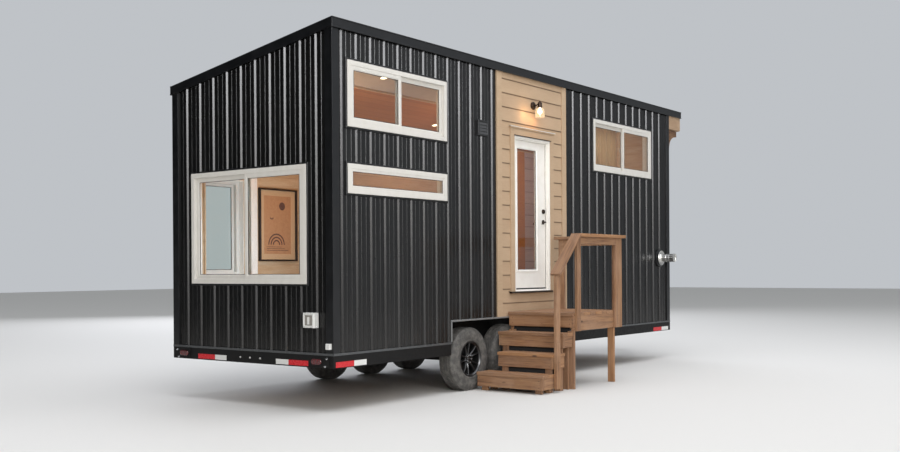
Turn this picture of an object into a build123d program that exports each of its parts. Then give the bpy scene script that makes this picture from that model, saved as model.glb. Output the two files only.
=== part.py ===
"""Tiny house on a triple-axle trailer, with a timber stair and landing at its door.

House coordinates, in millimetres: X runs from the rear end, with the large window, to the hitch end;
Y runs from the door side to the back; Z is the height over the ground.
"""

from build123d import *

import os
from math import ceil, cos, pi, sin

# Body of the house
body_length = 8000.0
body_width = 2554.0
high_side_top = 4065.0
low_side_top = 3629.0
siding_bottom = 595.0
floor_top = 700.0
core_thickness = 120.0
interior_height_drop = 150.0
above_all = 4500.0
margin = 50.0
joint_gap = 1.0

# Ribbed steel cladding: one tall rib each nine inches, with two low ribs between
rib_pitch = 228.6
rib_depth = 19.0
pan_thickness = 3.0
tall_rib_foot = 46.0
tall_rib_top = 18.0
low_rib_height = 4.0
low_rib_foot = 24.0
low_rib_top = 14.0
skin = rib_depth + pan_thickness
corner_trim_width = 100.0
door_side_first_rib = 163.0
door_side_right_rib = 4909.5
end_first_rib = 252.0
cladding_top_drop = 40.0

# Roof
roof_slope = (high_side_top - low_side_top) / body_width
roof_sheet_depth = 22.0
fascia_height = 100.0
fascia_thickness = 15.0
roof_overhang = 425.0
soffit_bottom_drop = 310.0

# Curved braces under the overhang
brace_width = 70.0
brace_reach = 350.0
brace_fall = 330.0
brace_tip = 90.0
brace_bow = (0.45, 40.0)
brace_inset = 30.0

# Tan entry panel of lapped boards
entry_left = 2994.0
entry_right = 4691.0
entry_bottom = 862.0
entry_top = 4025.0
entry_trim_width = 110.0
casing_width = 90.0
casing_proud = 4.0
lap_exposure = 178.0
lap_butt = 14.0
lap_tip = 5.0

# Doorway
door_left = 3388.0
door_right = 4258.0
door_sill = 1159.0
door_head = 3189.0
jamb = 30.0
door_stop = 14.0
sill_nose = 38.0
sill_nose_height = 22.0
leaf_recess = 55.0
leaf_thickness = 45.0
leaf_gap = 6.0
door_lite = (3533.0, 4004.0, 1457.0, 3042.0)
lite_border = 30.0
lite_proud = 5.0
hinge_barrel = 6.0
hinge_height = 90.0
hinge_inset = 250.0
hinge_offset = 8.0

# Lever and bolt
lock_x = 4162.0
lever_height = 2097.0
bolt_height = 2238.0
lock_bore = 13.0
lever_neck = 8.0
lever_reach = 58.0
lever_blade = 16.0
lever_outline = [(14, -11), (14, 11), (-70, 9), (-112, 4), (-116, -4), (-108, -10), (-70, -9)]
rose_profile = [(0, 32), (6, 32), (11, 22)]
bolt_profile = [(0, 32), (8, 32), (20, 25), (24, 22)]
thumb_plate_profile = [(0, 32), (8, 29)]
thumb_turn = (10.0, 40.0, 24.0)

# Windows: left, right, bottom and top of the white frame
upper_left_window = (226.0, 1940.0, 2969.0, 3664.0)
low_left_window = (226.0, 1940.0, 2272.0, 2584.0)
right_window = (5458.0, 7315.0, 2885.0, 3633.0)
end_window = (373.0, 2208.0, 1326.0, 2583.0)
back_window = (370.0, 970.0, 1400.0, 2583.0)
frame_proud = 12.0
frame_depth = 80.0
frame_face = 52.0
sash_face = 50.0
sash_depth = 29.0
outer_track = -8.0
inner_track = 24.0
fixed_bead = 30.0
glass_thickness = 16.0

# Linen curtain behind the left pane of the right window: left, right, bottom and top
window_curtain = (5470.0, 6200.0, 2800.0, 3600.0)
curtain_clear = 20.0
curtain_thickness = 50.0

# Porch lamp: back plate, bent arm, socket and bell-shaped shade
lamp_x = 3849.0
lamp_z = 3620.0
lamp_out = 100.0
lamp_arm = 8.0
lamp_arm_path = [(12, 0), (52, 4), (82, 24), (lamp_out, 32)]
lamp_plate_profile = [(0, 52), (26, 52), (38, 38)]
socket_top = 3668.0
socket_profile = [(0, 10), (14, 24), (40, 30), (76, 30)]
shade_top = 3592.0
shade_profile = [(0, 34), (18, 50), (132, 64)]
shade_hollow = [(-1, 24), (6, 28), (20, 45), (133, 60)]

# Louvre vent: left, right, bottom and top
louvre_vent = (2561.0, 2805.0, 3114.0, 3309.0)
vent_depth = 45.0
vent_border = 15.0
slat_thickness = 5.0
slat_count = 4
slat_gap = 2.0

# Flue terminal
flue_x = 7630.0
flue_z = 1632.0
flue_plate_profile = [(0, 140), (8, 136)]
flue_ring_profile = [(7, 61), (28, 118), (34, 118), (44, 61)]
flue_pipe_profile = [(7, 61), (246, 61), (250, 66), (262, 66)]
flue_slots = 8
flue_slot = (14.0, 50.0, 24.0)
flue_slot_start = 186.0
flue_slot_foot = 47.0

# Power inlet and cable box on the rear end: nearest and farthest Y, bottom and top
power_inlet = (218.0, 380.0, 873.0, 1030.0)
inlet_depth = 55.0
inlet_lid = 10.0
inlet_lid_inset = 6.0
inlet_recess_inset = 22.0
inlet_recess_bottom = 4.0
cable_box = (45.0, 100.0, 652.0, 715.0)
cable_box_depth = 40.0

# Trailer
rail_bottom = 458.0
rail_top = siding_bottom
rail_flange = 50.0
rail_web = 8.0
main_rail_y = 400.0
main_rail_width = 50.0
crossmember_count = 12
crossmember_width = 40.0
crossmember_height = 110.0
well_left = 2030.0
well_right = 4600.0
well_top = 850.0
well_sheet = 20.0
well_depth = 330.0
tongue_tip = 9180.0
tongue_bottom = 468.0
tongue_height = 102.0
tongue_spread = 760.0
tongue_bar = 65.0
tongue_nose = 70.0
tongue_throat = 170.0
coupler_reach = 110.0
coupler_length = 160.0
coupler_widths = (120.0, 76.0)
coupler_height = 55.0
coupler_profile = [(-10, 50), (40, 50), (65, 30)]
ball_socket_profile = [(-11, 30), (15, 30), (39, 14)]

# Tail lights: bracket and long lamp, measured from each corner
bracket_span = (60.0, 300.0)
bracket_height = (464.0, 588.0)
bracket_thickness = 12.0
lamp_span = (120.0, 285.0)
lamp_height = (496.0, 553.0)
lamp_proud = 34.0
lamp_corner = 14.0

# Wheels and axles
axle_x = (2450.0, 3314.0, 4178.0)
tyre_radius = 383.0
tyre_width = 235.0
tyre_face_y = 25.0
wheel_flats = 24
rim_radius = 216.0
tyre_profile = [(0, 301), (34, tyre_radius), (201, tyre_radius), (tyre_width, 301)]
tyre_bore_profile = [(0, 242), (18, rim_radius), (217, rim_radius), (tyre_width, 242)]
barrel_profile = [(18, rim_radius), (217, rim_radius)]
barrel_hollow = [(0, 210), (44, 190), (tyre_width, 202)]
hub_profile = [(14, 30), (24, 62), (78, 62), (160, 54)]
hub_flats = 12
spoke_pairs = 5
spoke_spread = 15.0
spoke_face = 30.0
spoke_depth = 34.0
spoke_outline = [(-15, 50), (15, 50), (11, 196), (-11, 196)]
hub_bore = 26.0
hub_bore_span = (80.0, tyre_width)
axle_flats = 12
axle_radius = 38.0
axle_gap = 10.0
spindle_radius = 20.0
spindle_start = 90.0
spring_half = 380.0
spring_leaf = 20.0
spring_swell = 4.0
hanger_length = 45.0

# Stair and landing
step_run = 235.0
step_slope = 0.97
stair_front = 2500.0
stair_side = -955.0
wall_clear = -12.0
middle_step_end = -160.0
step_tops = (225.0, 458.0, 692.0)
step_overlap = 45.0
landing_top = 930.0
tread = 38.0
nosing = 20.0
side_nosing = 12.0
step_board = 140.0
landing_board = 184.0
stock = 38.0
stud = 89.0
landing_left = stair_front + 3 * step_run
landing_right = 4371.0
joist_count = 3
rail_cap_top = 1900.0
rail_cap_width = 140.0
rail_cap_overhang = 50.0
rail_cap_side = stair_side - 95.0
rail_cap_end = -40.0
wall_post_y = -170.0
newel_x = 2757.0
newel_foot = 47.0
newel_lead = 60.0
upper_post_x = 3250.0

# Origin of the part: middle of the whole outline on the ground
outline_left = -(inlet_depth + inlet_lid)
outline_right = tongue_tip + coupler_reach
outline_front = rail_cap_side
outline_back = body_width + fascia_thickness
origin = Vector((outline_left + outline_right) / 2, (outline_front + outline_back) / 2, 0)

parts = {}


def block(x0, x1, y0, y1, z0, z1):
    """Rectangular solid between two corners."""
    return Pos((x0 + x1) / 2, (y0 + y1) / 2, (z0 + z1) / 2) * Box(x1 - x0, y1 - y0, z1 - z0)


def prism(points, direction, length):
    """Straight solid whose end is the closed outline through the points."""
    return extrude(make_face(Polyline(*points, close=True)), amount=length, dir=direction)


def rod(start, end, radius, flats=16):
    """Bar between two points, round to the eye."""
    along = Vector(*end) - Vector(*start)
    return extrude(Plane(origin=start, z_dir=along) * RegularPolygon(radius, flats), amount=along.length)


def turned(centre, direction, stations, flats=16):
    """Turned piece with flat facets: stations are distances along its axis with their radii."""
    plane = Plane(origin=centre, z_dir=direction)
    angles = [2 * pi * n / flats for n in range(flats)]
    rings = []
    for along, radius in stations:
        rings.append([plane.from_local_coords((radius * cos(a), radius * sin(a), along)) for a in angles])
    faces = [Face(Wire.make_polygon(ring)) for ring in (rings[0], rings[-1])]
    for near, far in zip(rings, rings[1:]):
        for n in range(flats):
            m = (n + 1) % flats
            faces.append(Face(Wire.make_polygon((near[n], near[m], far[m], far[n]))))
    return Part(Solid(Shell(faces)).wrapped)


def roof_top(y):
    return high_side_top - roof_slope * y


def above_roof(drop):
    """Everything above a plane that lies this far under the roof's top face."""
    near, far = -4 * margin, body_width + 4 * margin
    outline = [(-4 * margin, near, roof_top(near) - drop), (-4 * margin, far, roof_top(far) - drop),
               (-4 * margin, far, 2 * above_all), (-4 * margin, near, 2 * above_all)]
    return prism(outline, (1, 0, 0), body_length + 2 * roof_overhang + 8 * margin)


def roof_slab(x0, x1, y0, y1, upper_drop, lower_drop):
    """Sloping slab between two planes parallel to the roof."""
    outline = [(x0, y0, roof_top(y0) - upper_drop), (x0, y1, roof_top(y1) - upper_drop)]
    outline += [(x0, y1, roof_top(y1) - lower_drop), (x0, y0, roof_top(y0) - lower_drop)]
    return prism(outline, (1, 0, 0), x1 - x0)


def on_wall(wall, u0, u1, w0, w1, z0, z1):
    """Block given along a wall: distance along it, depth inwards from its face, and height."""
    if wall == "door":
        return block(u0, u1, w0, w1, z0, z1)
    if wall == "back":
        return block(u0, u1, body_width - w1, body_width - w0, z0, z1)
    return block(w0, w1, u0, u1, z0, z1)


def rib_line(start, end, first_rib, low_ribs=True):
    """Outer face of the ribbed sheet, as points (distance along the wall, depth)."""
    line = [(start, rib_depth)]
    rib = first_rib + rib_pitch * ceil((start - first_rib) / rib_pitch - 1)
    while rib < end + rib_pitch:
        shapes = [(rib, tall_rib_foot, tall_rib_top, rib_depth)]
        if low_ribs:
            for third in (1, 2):
                shapes.append((rib + rib_pitch * third / 3, low_rib_foot, low_rib_top, low_rib_height))
        for centre, foot, top, height in shapes:
            if centre - foot / 2 > start and centre + foot / 2 < end:
                line += [(centre - foot / 2, rib_depth), (centre - top / 2, rib_depth - height)]
                line += [(centre + top / 2, rib_depth - height), (centre + foot / 2, rib_depth)]
        rib += rib_pitch
    return line + [(end, rib_depth)]


def ribbed_panel(wall, start, end, first_rib):
    """Upright ribbed sheet with a flat back, from the siding's bottom to above the roof."""
    outline = rib_line(start, end, first_rib) + [(end, skin), (start, skin)]
    if wall == "door":
        points = [(u, w, siding_bottom) for u, w in outline]
    elif wall == "back":
        points = [(u, body_width - w, siding_bottom) for u, w in outline]
    elif wall == "rear":
        points = [(w, u, siding_bottom) for u, w in outline]
    else:
        points = [(body_length - w, u, siding_bottom) for u, w in outline]
    return prism(points, (0, 0, 1), above_all - siding_bottom)


def window_hole(wall, window):
    left, right, low, high = window
    return on_wall(wall, left, right, -margin, core_thickness + skin + margin, low, high)


def ring(wall, left, right, low, high, face, w0, w1):
    """Rectangular frame of one face width."""
    outer = on_wall(wall, left, right, w0, w1, low, high)
    return outer - on_wall(wall, left + face, right - face, w0 - 1, w1 + 1, low + face, high - face)


def sliding_window(wall, window, outer_half):
    """Frame with two sashes on two tracks; outer_half is the half whose sash lies outermost."""
    left, right, low, high = window
    middle = (left + right) / 2
    halves = {"left": (left + frame_face, middle + sash_face / 2),
              "right": (middle - sash_face / 2, right - frame_face)}
    frame = ring(wall, left, right, low, high, frame_face, -frame_proud, frame_depth - frame_proud)
    panes = []
    for half, (u0, u1) in halves.items():
        w0 = outer_track if half == outer_half else inner_track
        frame += ring(wall, u0, u1, low + frame_face, high - frame_face, sash_face, w0, w0 + sash_depth)
        pane_w = w0 + (sash_depth - glass_thickness) / 2
        panes.append(on_wall(wall, u0 + sash_face, u1 - sash_face, pane_w, pane_w + glass_thickness,
                             low + frame_face + sash_face, high - frame_face - sash_face))
    return frame, panes


def fixed_window(wall, window):
    """Frame with one fixed pane in a narrow bead."""
    left, right, low, high = window
    frame = ring(wall, left, right, low, high, frame_face, -frame_proud, frame_depth - frame_proud)
    frame += ring(wall, left + frame_face, right - frame_face, low + frame_face, high - frame_face, fixed_bead,
                  outer_track, outer_track + sash_depth)
    inset = frame_face + fixed_bead
    pane_w = outer_track + (sash_depth - glass_thickness) / 2
    pane = on_wall(wall, left + inset, right - inset, pane_w, pane_w + glass_thickness,
                   low + inset, high - inset)
    return frame, [pane]


def make_walls():
    """Framed walls, each the full core thickness, cut for their windows and for the wheel wells."""
    inner = skin + core_thickness
    far_inner = body_width - inner
    roof_cut = above_roof(interior_height_drop)
    well_clear = well_top + well_sheet
    well_start = well_left - well_sheet
    well_end = well_right + well_sheet
    door_well = block(well_start, well_end, 0, inner + 1, 0, well_clear)
    back_well = block(well_start, well_end, far_inner - 1, body_width, 0, well_clear)
    front = body_length - skin

    left = block(skin, door_left, skin, inner, siding_bottom, above_all) - door_well - roof_cut
    left_holes = window_hole("door", upper_left_window) + window_hole("door", low_left_window)
    parts["door_wall_left"] = left - left_holes
    right = block(door_right, front, skin, inner, siding_bottom, above_all) - door_well - roof_cut
    parts["door_wall_right"] = right - window_hole("door", right_window)
    parts["door_wall_head"] = block(door_left, door_right, skin, inner, door_head, above_all) - roof_cut
    parts["door_wall_foot"] = block(door_left, door_right, skin, inner, well_clear, door_sill)
    back = block(skin, front, far_inner, body_width - skin, siding_bottom, above_all) - back_well - roof_cut
    parts["back_wall"] = back - window_hole("back", back_window)
    rear = block(skin, inner, inner, far_inner, siding_bottom, above_all) - roof_cut
    parts["rear_end_wall"] = rear - window_hole("rear", end_window)
    hitch_end = block(body_length - inner, front, inner, far_inner, siding_bottom, above_all)
    parts["front_end_wall"] = hitch_end - roof_cut

    deck = block(inner, body_length - inner, inner, far_inner, siding_bottom, floor_top)
    depth = well_depth + well_sheet
    deck -= block(well_start, well_end, 0, depth, 0, floor_top + 1)
    deck -= block(well_start, well_end, body_width - depth, body_width, 0, floor_top + 1)
    parts["floor_deck"] = deck

    well = block(well_start, well_end, skin, depth, siding_bottom, well_clear)
    well -= block(well_left, well_right, 0, well_depth, 0, well_top)
    parts["wheel_wells"] = Compound([well, mirror(well, Plane.XZ.offset(-body_width / 2))])


def make_cladding():
    """Black ribbed sheets and flat corner trims."""
    fascia_cut = above_roof(cladding_top_drop)
    ceiling_cut = above_roof(interior_height_drop)
    well = block(well_left, well_right, -margin, body_width + margin, 0, well_top)
    near_end = corner_trim_width
    far_end = body_length - corner_trim_width
    left = ribbed_panel("door", near_end, entry_left, door_side_first_rib)
    left = left - fascia_cut - well
    left = left - window_hole("door", upper_left_window) - window_hole("door", low_left_window)
    right = ribbed_panel("door", entry_right, far_end, door_side_right_rib)
    right = right - fascia_cut - well - window_hole("door", right_window)
    parts["door_side_cladding"] = Compound([left, right])
    back = ribbed_panel("back", near_end, far_end, door_side_first_rib)
    parts["back_cladding"] = back - fascia_cut - well - window_hole("back", back_window)
    across = body_width - corner_trim_width
    rear = ribbed_panel("rear", corner_trim_width, across, end_first_rib)
    parts["rear_cladding"] = rear - fascia_cut - window_hole("rear", end_window)
    parts["front_cladding"] = ribbed_panel("front", corner_trim_width, across, end_first_rib) - ceiling_cut

    trims = []
    for end_x, inward, cut in ((0, 1, fascia_cut), (body_length, -1, ceiling_cut)):
        for end_y, away in ((0, 1), (body_width, -1)):
            xs = sorted((end_x, end_x + inward * corner_trim_width))
            ys = sorted((end_y, end_y + away * skin))
            long_leg = block(*xs, *ys, siding_bottom, above_all) - fascia_cut
            xs = sorted((end_x, end_x + inward * skin))
            ys = sorted((end_y + away * skin, end_y + away * corner_trim_width))
            trims.append(long_leg + (block(*xs, *ys, siding_bottom, above_all) - cut))
    parts["corner_trims"] = Compound(trims)


def make_roof():
    """Shed roof that falls to the back, ribbed sheet on a framed deck, with the overhang at the hitch end."""
    overhang_end = body_length + roof_overhang
    deck = roof_slab(skin, body_length, skin, body_width - skin, roof_sheet_depth, interior_height_drop)
    deck += roof_slab(body_length, overhang_end, 0, body_width, roof_sheet_depth, fascia_height)
    parts["roof_deck"] = deck
    parts["overhang_soffit"] = roof_slab(body_length, overhang_end, 0, body_width, fascia_height,
                                         soffit_bottom_drop)

    outline = rib_line(0, overhang_end, door_side_first_rib, low_ribs=False)
    outline += [(overhang_end, roof_sheet_depth), (0, roof_sheet_depth)]
    points = [(u, 0, high_side_top - w) for u, w in outline]
    fall = Vector(0, body_width, -roof_slope * body_width)
    parts["roof_sheet"] = prism(points, fall.normalized(), fall.length)

    far_side = body_width + fascia_thickness
    far_end = overhang_end + fascia_thickness
    outer = roof_slab(-fascia_thickness, far_end, -fascia_thickness, far_side, 0, fascia_height)
    below = low_side_top - fascia_height - margin
    outer -= block(0, overhang_end, 0, body_width, below, above_all)
    for x in (0, overhang_end - joint_gap):
        outer -= block(x, x + joint_gap, -margin, far_side + margin, below, above_all)
    parts["roof_fascia"] = outer

    braces = []
    for y in (brace_inset, body_width - brace_inset - brace_width):
        top = roof_top(y) - soffit_bottom_drop
        low = top - brace_fall
        near, far = body_length, body_length + brace_reach
        raised = top + roof_slope * brace_width
        edge = Polyline((near + brace_width, y, low), (near, y, low), (near, y, raised), (far, y, raised),
                        (far, y, top - brace_tip))
        bow_share, bow_lift = brace_bow
        hollow = (near + bow_share * brace_reach, y, (top - brace_tip + low) / 2 + bow_lift)
        curve = ThreePointArc((far, y, top - brace_tip), hollow, (near + brace_width, y, low))
        brace = extrude(make_face(edge + curve), amount=brace_width, dir=(0, 1, 0))
        braces.append(brace - above_roof(soffit_bottom_drop))
    parts["knee_braces"] = Compound(braces)


def make_entry():
    """Tan panel of lapped boards with trim boards, around the door."""
    bottom = entry_bottom
    outline = [(entry_left, skin, bottom)]
    while bottom < entry_top:
        top = min(bottom + lap_exposure, entry_top)
        tip = lap_butt - (lap_butt - lap_tip) * (top - bottom) / lap_exposure
        outline += [(entry_left, skin - lap_butt, bottom), (entry_left, skin - tip, top)]
        bottom = top
    outline.append((entry_left, skin, entry_top))
    boards = prism(outline, (1, 0, 0), entry_right - entry_left)
    trims = []
    for x0 in (entry_left, entry_right - entry_trim_width):
        boards -= block(x0, x0 + entry_trim_width, -margin, skin + 1, entry_bottom, entry_top)
        trims.append(block(x0, x0 + entry_trim_width, 0, skin, entry_bottom, entry_top))
    x0, x1 = door_left - casing_width, door_right + casing_width
    boards -= block(x0, x1, -margin, skin + 1, door_sill, door_head + casing_width)
    casing = block(x0, x1, -casing_proud, skin, door_sill, door_head + casing_width)
    casing -= block(door_left, door_right, -margin, skin + 1, door_sill - 1, door_head)
    parts["entry_siding"] = boards
    parts["entry_trim"] = Compound(trims + [casing])


def make_windows():
    """White sliding and fixed windows, their panes as one node, and the gathered curtain of the right one."""
    panes = []
    for name, wall, window, outer_half in (("upper_left_window", "door", upper_left_window, "left"),
                                           ("right_window", "door", right_window, "right"),
                                           ("end_window", "rear", end_window, "left")):
        parts[name], glass = sliding_window(wall, window, outer_half)
        panes += glass
    for name, wall, window in (("low_left_window", "door", low_left_window),
                               ("back_window", "back", back_window)):
        parts[name], glass = fixed_window(wall, window)
        panes += glass
    parts["window_glass"] = Compound(panes)
    left, right, low, high = window_curtain
    near = skin + core_thickness + curtain_clear
    parts["window_curtain"] = on_wall("door", left, right, near, near + curtain_thickness, low, high)


def make_door():
    """Inward-opening door with one full pane, its frame, lever and bolt."""
    inner = skin + core_thickness
    left, right = door_left + jamb, door_right - jamb
    low, high = door_sill + jamb, door_head - jamb
    frame = block(door_left, door_right, 0, inner, door_sill, door_head)
    frame -= block(left, right, -1, inner + 1, low, high)
    stops = block(left, right, skin, leaf_recess - leaf_gap, low, high)
    stops -= block(left + door_stop, right - door_stop, skin - 1, leaf_recess, low - 1, high - door_stop)
    frame += stops
    frame += block(door_left, door_right, -sill_nose, 0, door_sill, door_sill + sill_nose_height)
    hinge_x = left + leaf_gap / 2
    hinge_y = leaf_recess + leaf_thickness + hinge_offset
    for z in (door_sill + hinge_inset, (door_sill + door_head) / 2, door_head - hinge_inset):
        frame += Pos(hinge_x, hinge_y, z) * Cylinder(hinge_barrel, hinge_height)
    parts["door_frame"] = frame

    outside, inside = leaf_recess, leaf_recess + leaf_thickness
    leaf = block(left + leaf_gap, right - leaf_gap, outside, inside, low + leaf_gap, high - leaf_gap)
    u0, u1, z0, z1 = door_lite
    leaf += block(u0 - lite_border, u1 + lite_border, outside - lite_proud, inside + lite_proud,
                  z0 - lite_border, z1 + lite_border)
    leaf -= block(u0, u1, 0, 2 * inside, z0, z1)
    leaf -= rod((lock_x, 0, lever_height), (lock_x, 2 * inside, lever_height), lock_bore)
    parts["door_leaf"] = leaf
    pane_y = outside + (leaf_thickness - glass_thickness) / 2
    parts["door_glass"] = block(u0, u1, pane_y, pane_y + glass_thickness, z0, z1)

    neck = leaf_thickness + 2 * lever_reach
    lever = Pos(lock_x, outside + leaf_thickness / 2, lever_height) * Rot(90, 0, 0) * Cylinder(lever_neck, neck)
    for y in (outside - lever_reach, inside + lever_reach - lever_blade):
        lever += prism([(lock_x + u, y, lever_height + v) for u, v in lever_outline], (0, 1, 0), lever_blade)
    parts["door_lever"] = lever

    wide, tall, deep = thumb_turn
    inner_bolt = turned((lock_x, inside, bolt_height), (0, 1, 0), thumb_plate_profile)
    inner_bolt += block(lock_x - wide / 2, lock_x + wide / 2, inside, inside + deep, bolt_height - tall / 2,
                        bolt_height + tall / 2)
    hardware = [turned((lock_x, outside, bolt_height), (0, -1, 0), bolt_profile), inner_bolt]
    for face, out in ((outside, -1), (inside, 1)):
        rose = turned((lock_x, face, lever_height), (0, out, 0), rose_profile)
        start, end = (lock_x, outside - deep, lever_height), (lock_x, inside + deep, lever_height)
        hardware.append(rose - rod(start, end, lock_bore))
    parts["door_bolt_and_roses"] = Compound(hardware)


def make_porch_lamp():
    """Round back plate, bent arm, socket and bell-shaped glass shade."""
    plate = turned((lamp_x, skin, lamp_z), (0, -1, 0), lamp_plate_profile)
    points = [(lamp_x, -out, lamp_z + up) for out, up in lamp_arm_path]
    section = Plane(origin=points[0], z_dir=(0, -1, 0)) * RegularPolygon(lamp_arm, 8)
    arm = sweep(section, path=Polyline(*points), transition=Transition.RIGHT)
    parts["porch_lamp"] = plate + arm + turned((lamp_x, -lamp_out, socket_top), (0, 0, -1), socket_profile)
    parts["entry_siding"] -= plate
    shade = turned((lamp_x, -lamp_out, shade_top), (0, 0, -1), shade_profile)
    parts["porch_lamp_shade"] = shade - turned((lamp_x, -lamp_out, shade_top), (0, 0, -1), shade_hollow)


def make_vents():
    """Louvre vent high on the door side and the flue terminal near the hitch end."""
    left, right, low, high = louvre_vent
    vent = ring("door", left, right, low, high, vent_border, -vent_depth, 0)
    vent += block(left, right, -vent_border, 0, low, high)
    pitch = (high - low - 2 * vent_border) / slat_count
    for n in range(slat_count):
        z = low + vent_border + n * pitch + slat_gap
        x, near, far = left + vent_border / 3, slat_gap - vent_depth, slat_gap - vent_border
        top = z + pitch - 2 * slat_thickness
        slat = [(x, near, z + slat_thickness), (x, near + slat_thickness, z)]
        slat += [(x, far, top - slat_thickness), (x, far, top)]
        vent += prism(slat, (1, 0, 0), right - left - 2 * vent_border / 3)
    parts["louvre_vent"] = vent

    centre, out = (flue_x, 0, flue_z), (0, -1, 0)
    flue = turned(centre, out, flue_plate_profile) + turned(centre, out, flue_ring_profile)
    pipe = turned(centre, out, flue_pipe_profile)
    wide, long, deep = flue_slot
    start, foot = -flue_slot_start, flue_slot_foot
    for n in range(flue_slots):
        slot = block(-wide / 2, wide / 2, start - long, start, foot, foot + deep)
        pipe -= Pos(flue_x, 0, flue_z) * Rot(0, 360 * n / flue_slots, 0) * slot
    parts["flue_terminal"] = flue + pipe


def make_electrics():
    """Power inlet and cable box on the rear end, and the tail lights on their brackets."""
    y0, y1, low, high = power_inlet
    inlet = block(-inlet_depth, 0, y0, y1, low, high)
    front, edge, deep = -inlet_depth - inlet_lid, inlet_lid_inset, inlet_recess_inset
    inlet += block(front, -inlet_depth, y0 + edge, y1 - edge, low + edge, high - edge)
    inlet -= block(front - 1, -inlet_depth - inlet_recess_bottom, y0 + deep, y1 - deep,
                   low + deep, high - deep)
    y0, y1, low, high = cable_box
    parts["power_inlet"] = Compound([inlet, block(-cable_box_depth, 0, y0, y1, low, high)])

    lights = []
    for side in (0, 1):
        span = [side * body_width + (1 - 2 * side) * y for y in bracket_span]
        light = block(-bracket_thickness, 0, min(span), max(span), *bracket_height)
        y0, y1 = sorted(side * body_width + (1 - 2 * side) * y for y in lamp_span)
        low, high = lamp_height
        cut = lamp_corner
        outline = [(y0 + cut, low), (y1 - cut, low), (y1, low + cut), (y1, high - cut)]
        outline += [(y1 - cut, high), (y0 + cut, high), (y0, high - cut), (y0, low + cut)]
        light += prism([(-lamp_proud, y, z) for y, z in outline], (1, 0, 0), lamp_proud)
        lights.append(light)
    parts["tail_lights"] = Compound(lights)


def channel(x0, x1, y, side):
    """Steel channel along X with its web at y and its flanges towards side."""
    outer_y = sorted((y, y + side * rail_flange))
    hollow_y = sorted((y + side * rail_web, y + side * (rail_flange + 1)))
    outer = block(x0, x1, *outer_y, rail_bottom, rail_top)
    return outer - block(x0 - 1, x1 + 1, *hollow_y, rail_bottom + rail_web, rail_top - rail_web)


def make_trailer():
    """Steel side and main rails, crossmembers, and the hitch tongue with its coupler."""
    rails = [block(0, rail_flange, 0, body_width, rail_bottom, rail_top),
             block(body_length - rail_flange, body_length, 0, body_width, rail_bottom, rail_top)]
    for y, side in ((0, 1), (body_width, -1)):
        rails.append(channel(rail_flange + joint_gap, well_left - well_sheet, y, side))
        rails.append(channel(well_right + well_sheet, body_length - rail_flange - joint_gap, y, side))
    parts["frame_side_rails"] = Compound(rails)

    far_rail_y = body_width - main_rail_y - main_rail_width
    mains = [block(rail_flange, body_length - rail_flange, y, y + main_rail_width, rail_bottom, rail_top)
             for y in (main_rail_y, far_rail_y)]
    parts["frame_main_rails"] = Compound(mains)

    bars = []
    inner_y = main_rail_y + main_rail_width
    gap = (body_length - 2 * rail_flange) / (crossmember_count + 1)
    low = rail_top - crossmember_height
    for n in range(1, crossmember_count + 1):
        x0 = rail_flange + n * gap - crossmember_width / 2
        x1 = x0 + crossmember_width
        bars.append(block(x0, x1, inner_y, body_width - inner_y, low, rail_top))
        if x1 < well_left - margin or x0 > well_right + margin:
            bars.append(block(x0, x1, rail_flange, main_rail_y, low, rail_top))
            bars.append(block(x0, x1, body_width - main_rail_y, body_width - rail_flange, low, rail_top))
    parts["frame_crossmembers"] = Compound(bars)

    mid = body_width / 2
    wide, inner_wide, throat = tongue_spread, tongue_spread - tongue_bar, tongue_tip - tongue_throat
    outline = [(body_length, mid - wide), (tongue_tip, mid - tongue_nose), (tongue_tip, mid + tongue_nose),
               (body_length, mid + wide)]
    hollow = [(body_length, mid - inner_wide), (throat, mid - tongue_nose), (throat, mid + tongue_nose),
              (body_length, mid + inner_wide)]
    tongue = prism([(x, y, tongue_bottom) for x, y in outline], (0, 0, 1), tongue_height)
    tongue -= prism([(x, y, tongue_bottom) for x, y in hollow], (0, 0, 1), tongue_height)
    deck = tongue_bottom + tongue_height
    socket_x = outline_right - coupler_profile[0][1]
    start, (wide_end, slim_end) = tongue_tip - coupler_length, coupler_widths
    tapered = [(start, mid - wide_end / 2), (socket_x, mid - slim_end / 2), (socket_x, mid + slim_end / 2),
               (start, mid + wide_end / 2)]
    tongue += prism([(x, y, deck) for x, y in tapered], (0, 0, 1), coupler_height)
    tongue += turned((socket_x, mid, deck), (0, 0, 1), coupler_profile)
    tongue -= turned((socket_x, mid, deck), (0, 0, 1), ball_socket_profile)
    parts["tongue"] = tongue


def make_axles():
    """Axle tubes with their spindles, each hung on two curved springs."""
    units = []
    tube_start = tyre_face_y + tyre_width + axle_gap
    ends = (tube_start, body_width - tube_start)
    tips = (tyre_face_y + spindle_start, body_width - tyre_face_y - spindle_start)
    high, low = rail_bottom, tyre_radius + axle_radius + spring_leaf
    for x in axle_x:
        axle = rod((x, ends[0], tyre_radius), (x, ends[1], tyre_radius), axle_radius, axle_flats)
        axle += rod((x, tips[0], tyre_radius), (x, tips[1], tyre_radius), spindle_radius, axle_flats)
        near, far = x - spring_half, x + spring_half
        for y in (main_rail_y, body_width - main_rail_y - main_rail_width):
            top_arc = ThreePointArc((near, y, high), (x, y, low), (far, y, high))
            foot, deepest = high - spring_leaf, low - spring_leaf - spring_swell
            low_arc = ThreePointArc((far, y, foot), (x, y, deepest), (near, y, foot))
            sides = Line((far, y, high), (far, y, foot)) + Line((near, y, foot), (near, y, high))
            axle += extrude(make_face(top_arc + low_arc + sides), amount=main_rail_width, dir=(0, 1, 0))
            for x0 in (near - hanger_length, far):
                axle += block(x0, x0 + hanger_length, y, y + main_rail_width, high - 2 * spring_leaf, high)
        units.append(axle)
    parts["axles"] = Compound(units)


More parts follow.
